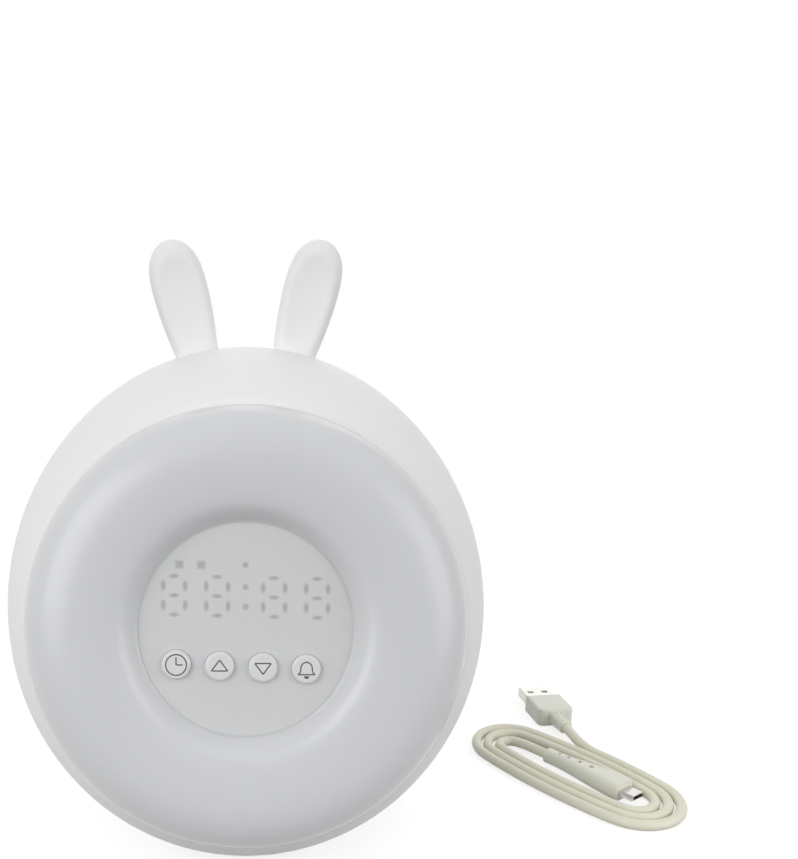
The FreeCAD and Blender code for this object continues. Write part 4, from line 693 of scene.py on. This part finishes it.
# Fine-textured ABS: a shade greyer and smoother than the shell round it
hub_abs, tree, shader, place = finish_named("fine-textured white ABS", "#DEDEDF", 0.5)
grained(tree, shader, place, 0.35, 0.08, 0.02)
welded("rear_hub", hub_abs)
welded("battery_door", hub_abs, "battery_door")

# Night-light button: a round cap cut from the shell's own curve, with a raised sun, behind a
# narrow gap in the shell.
LIGHT_PLACE = (0.0, 66.765, 140.84)
LIGHT_FACING = Vector((0.0, 0.8465, 0.5323))
LIGHT_BUTTON_R = 7.5
LIGHT_GAP = 0.25
SUN_RAYS = 8
SUN_RAY_SPAN = (2.3, 3.4)
SUN_R = 1.5
SUN_RELIEF = 0.9
SUN_LINE_R = 0.2
hole_r = LIGHT_BUTTON_R + LIGHT_GAP
bm = bmesh.new()
bmesh.ops.create_cone(bm, cap_ends=True, segments=96, radius1=hole_r, radius2=hole_r, depth=12)
button_turn = LIGHT_FACING.to_track_quat("Z", "X").to_matrix().to_4x4()
at_button = Matrix.Scale(MM, 4) @ Matrix.Translation(LIGHT_PLACE) @ button_turn
bm.transform(at_button)
mesh = bpy.data.meshes.new("hole")
bm.to_mesh(mesh)
cutter = bpy.data.objects.new("hole", mesh)
scene.collection.objects.link(cutter)
hole = shell.modifiers.new("hole", "BOOLEAN")
hole.operation = "DIFFERENCE"
hole.solver = "EXACT"
hole.object = cutter
bpy.context.view_layer.update()
cut = bpy.data.meshes.new_from_object(shell.evaluated_get(bpy.context.evaluated_depsgraph_get()))
shell.modifiers.clear()
shell.data = cut
bpy.data.objects.remove(cutter)
welded("light_button", matte_abs, "light_button")
sun = [round_line(SUN_R)]
for step in range(SUN_RAYS):
    turn = math.tau * step / SUN_RAYS
    sun.append([(math.cos(turn) * r, math.sin(turn) * r) for r in SUN_RAY_SPAN])
at_cap = at_button @ Matrix.Rotation(-math.pi / 2, 4, "X")
printed("light_button_sun", sun, at_cap, matte_abs, "light_button", SUN_RELIEF, SUN_LINE_R)

# Plugs: ivory overmoulds on nickel-plated steel shells. The large one's relief has small slots, and
# the small one's long handle has four dimples for the finger and thumb.
DRAW_LINES = (1, 1, 14)
# Satin overmould: a little whiter and tighter in its shine than the sheath
mould, tree, shader, place = finish_named(
    "satin ivory overmould", "#E4E5D8", 0.38, Subsurface_Weight=0.12, Subsurface_Scale=1.0 * MM,
)
grained(tree, shader, place, 0.5, 0.08, 0.02)
# Nickel plate on drawn steel: a mirror that fine draw lines blur along the plug
nickel, tree, shader, place = finish_named("nickel-plated steel", "#CFCDC8", 0.22, Metallic=1.0)
brushed = add(tree, "ShaderNodeMapping", {"Vector": place, "Scale": DRAW_LINES})
wear = grained(tree, shader, brushed.outputs["Vector"], 0.6, 0.06, 0.01)
rough = add(tree, "ShaderNodeMapRange", {"Value": wear.outputs["Fac"], "To Min": 0.16, "To Max": 0.32})
tree.links.new(rough.outputs[0], shader.inputs["Roughness"])
# Plain moulded insert: flat and white inside the steel
insert, tree, shader, place = finish_named("white moulded insert", "#E4E4E2", 0.45)
grained(tree, shader, place, 0.5, 0.06, 0.02)
plugs = [
    welded("usb_grip", mould, bevel=0.25),
    welded("micro_grip", mould, bevel=0.2),
    welded("usb_shell", nickel, bevel=0.06),
    welded("micro_shell", nickel, bevel=0.05),
    welded("usb_tongue", insert),
]

# Inside and underneath: boards, lamps, speaker, cell, screws and pads keep the frame's solids and
# take the finish of what each one is.
FINISHES = {
    "board": ("green solder mask", "#1F5A33", 0.3, 0.0, 0.5),
    "board_white": ("white solder mask", "#E8E8E2", 0.35, 0.0, 0.5),
    "black_trim": ("black moulded nylon", "#1C1C1E", 0.5, 0.0, 0.3),
    "steel_screw": ("bright zinc plate", "#B9BABC", 0.3, 1.0, 0.3),
    "cell_steel": ("smooth stainless steel", "#C9C9C8", 0.25, 1.0, 0.5),
    "spring_steel": ("plated spring steel", "#C4C3BD", 0.28, 1.0, 0.3),
    "white_inner": ("plain white moulding", "#E6E6E5", 0.5, 0.0, 0.4),
    "segment": ("milky light guides", "#DDDDDC", 0.4, 0.0, 0.4),
    "lamp": ("moulded lamp epoxy", "#F0EBC4", 0.25, 0.0, 0.4),
    "speaker_steel": ("black-painted pressed steel", "#26272A", 0.45, 0.0, 0.5),
    "speaker_paper": ("pressed black paper pulp", "#1E1D1C", 0.85, 0.0, 0.3),
    "magnet": ("sintered ferrite", "#3A3A3D", 0.6, 0.2, 0.3),
    "silicone": ("translucent silicone", "#D6D6D4", 0.4, 0.0, 0.5),
}
finishes = {}
for slot, (name, code, roughness, metal, grain) in FINISHES.items():
    finishes[slot], tree, shader, place = finish_named(name, code, roughness, Metallic=metal)
    grained(tree, shader, place, grain, 0.08, 0.02)
for part in frame["record"]["subparts"]:
    node, slot = part["node"], part["material_slot"]
    if slot in finishes:
        solid = frame["nodes"][node].data
        solid.materials.clear()
        solid.materials.append(finishes[slot])
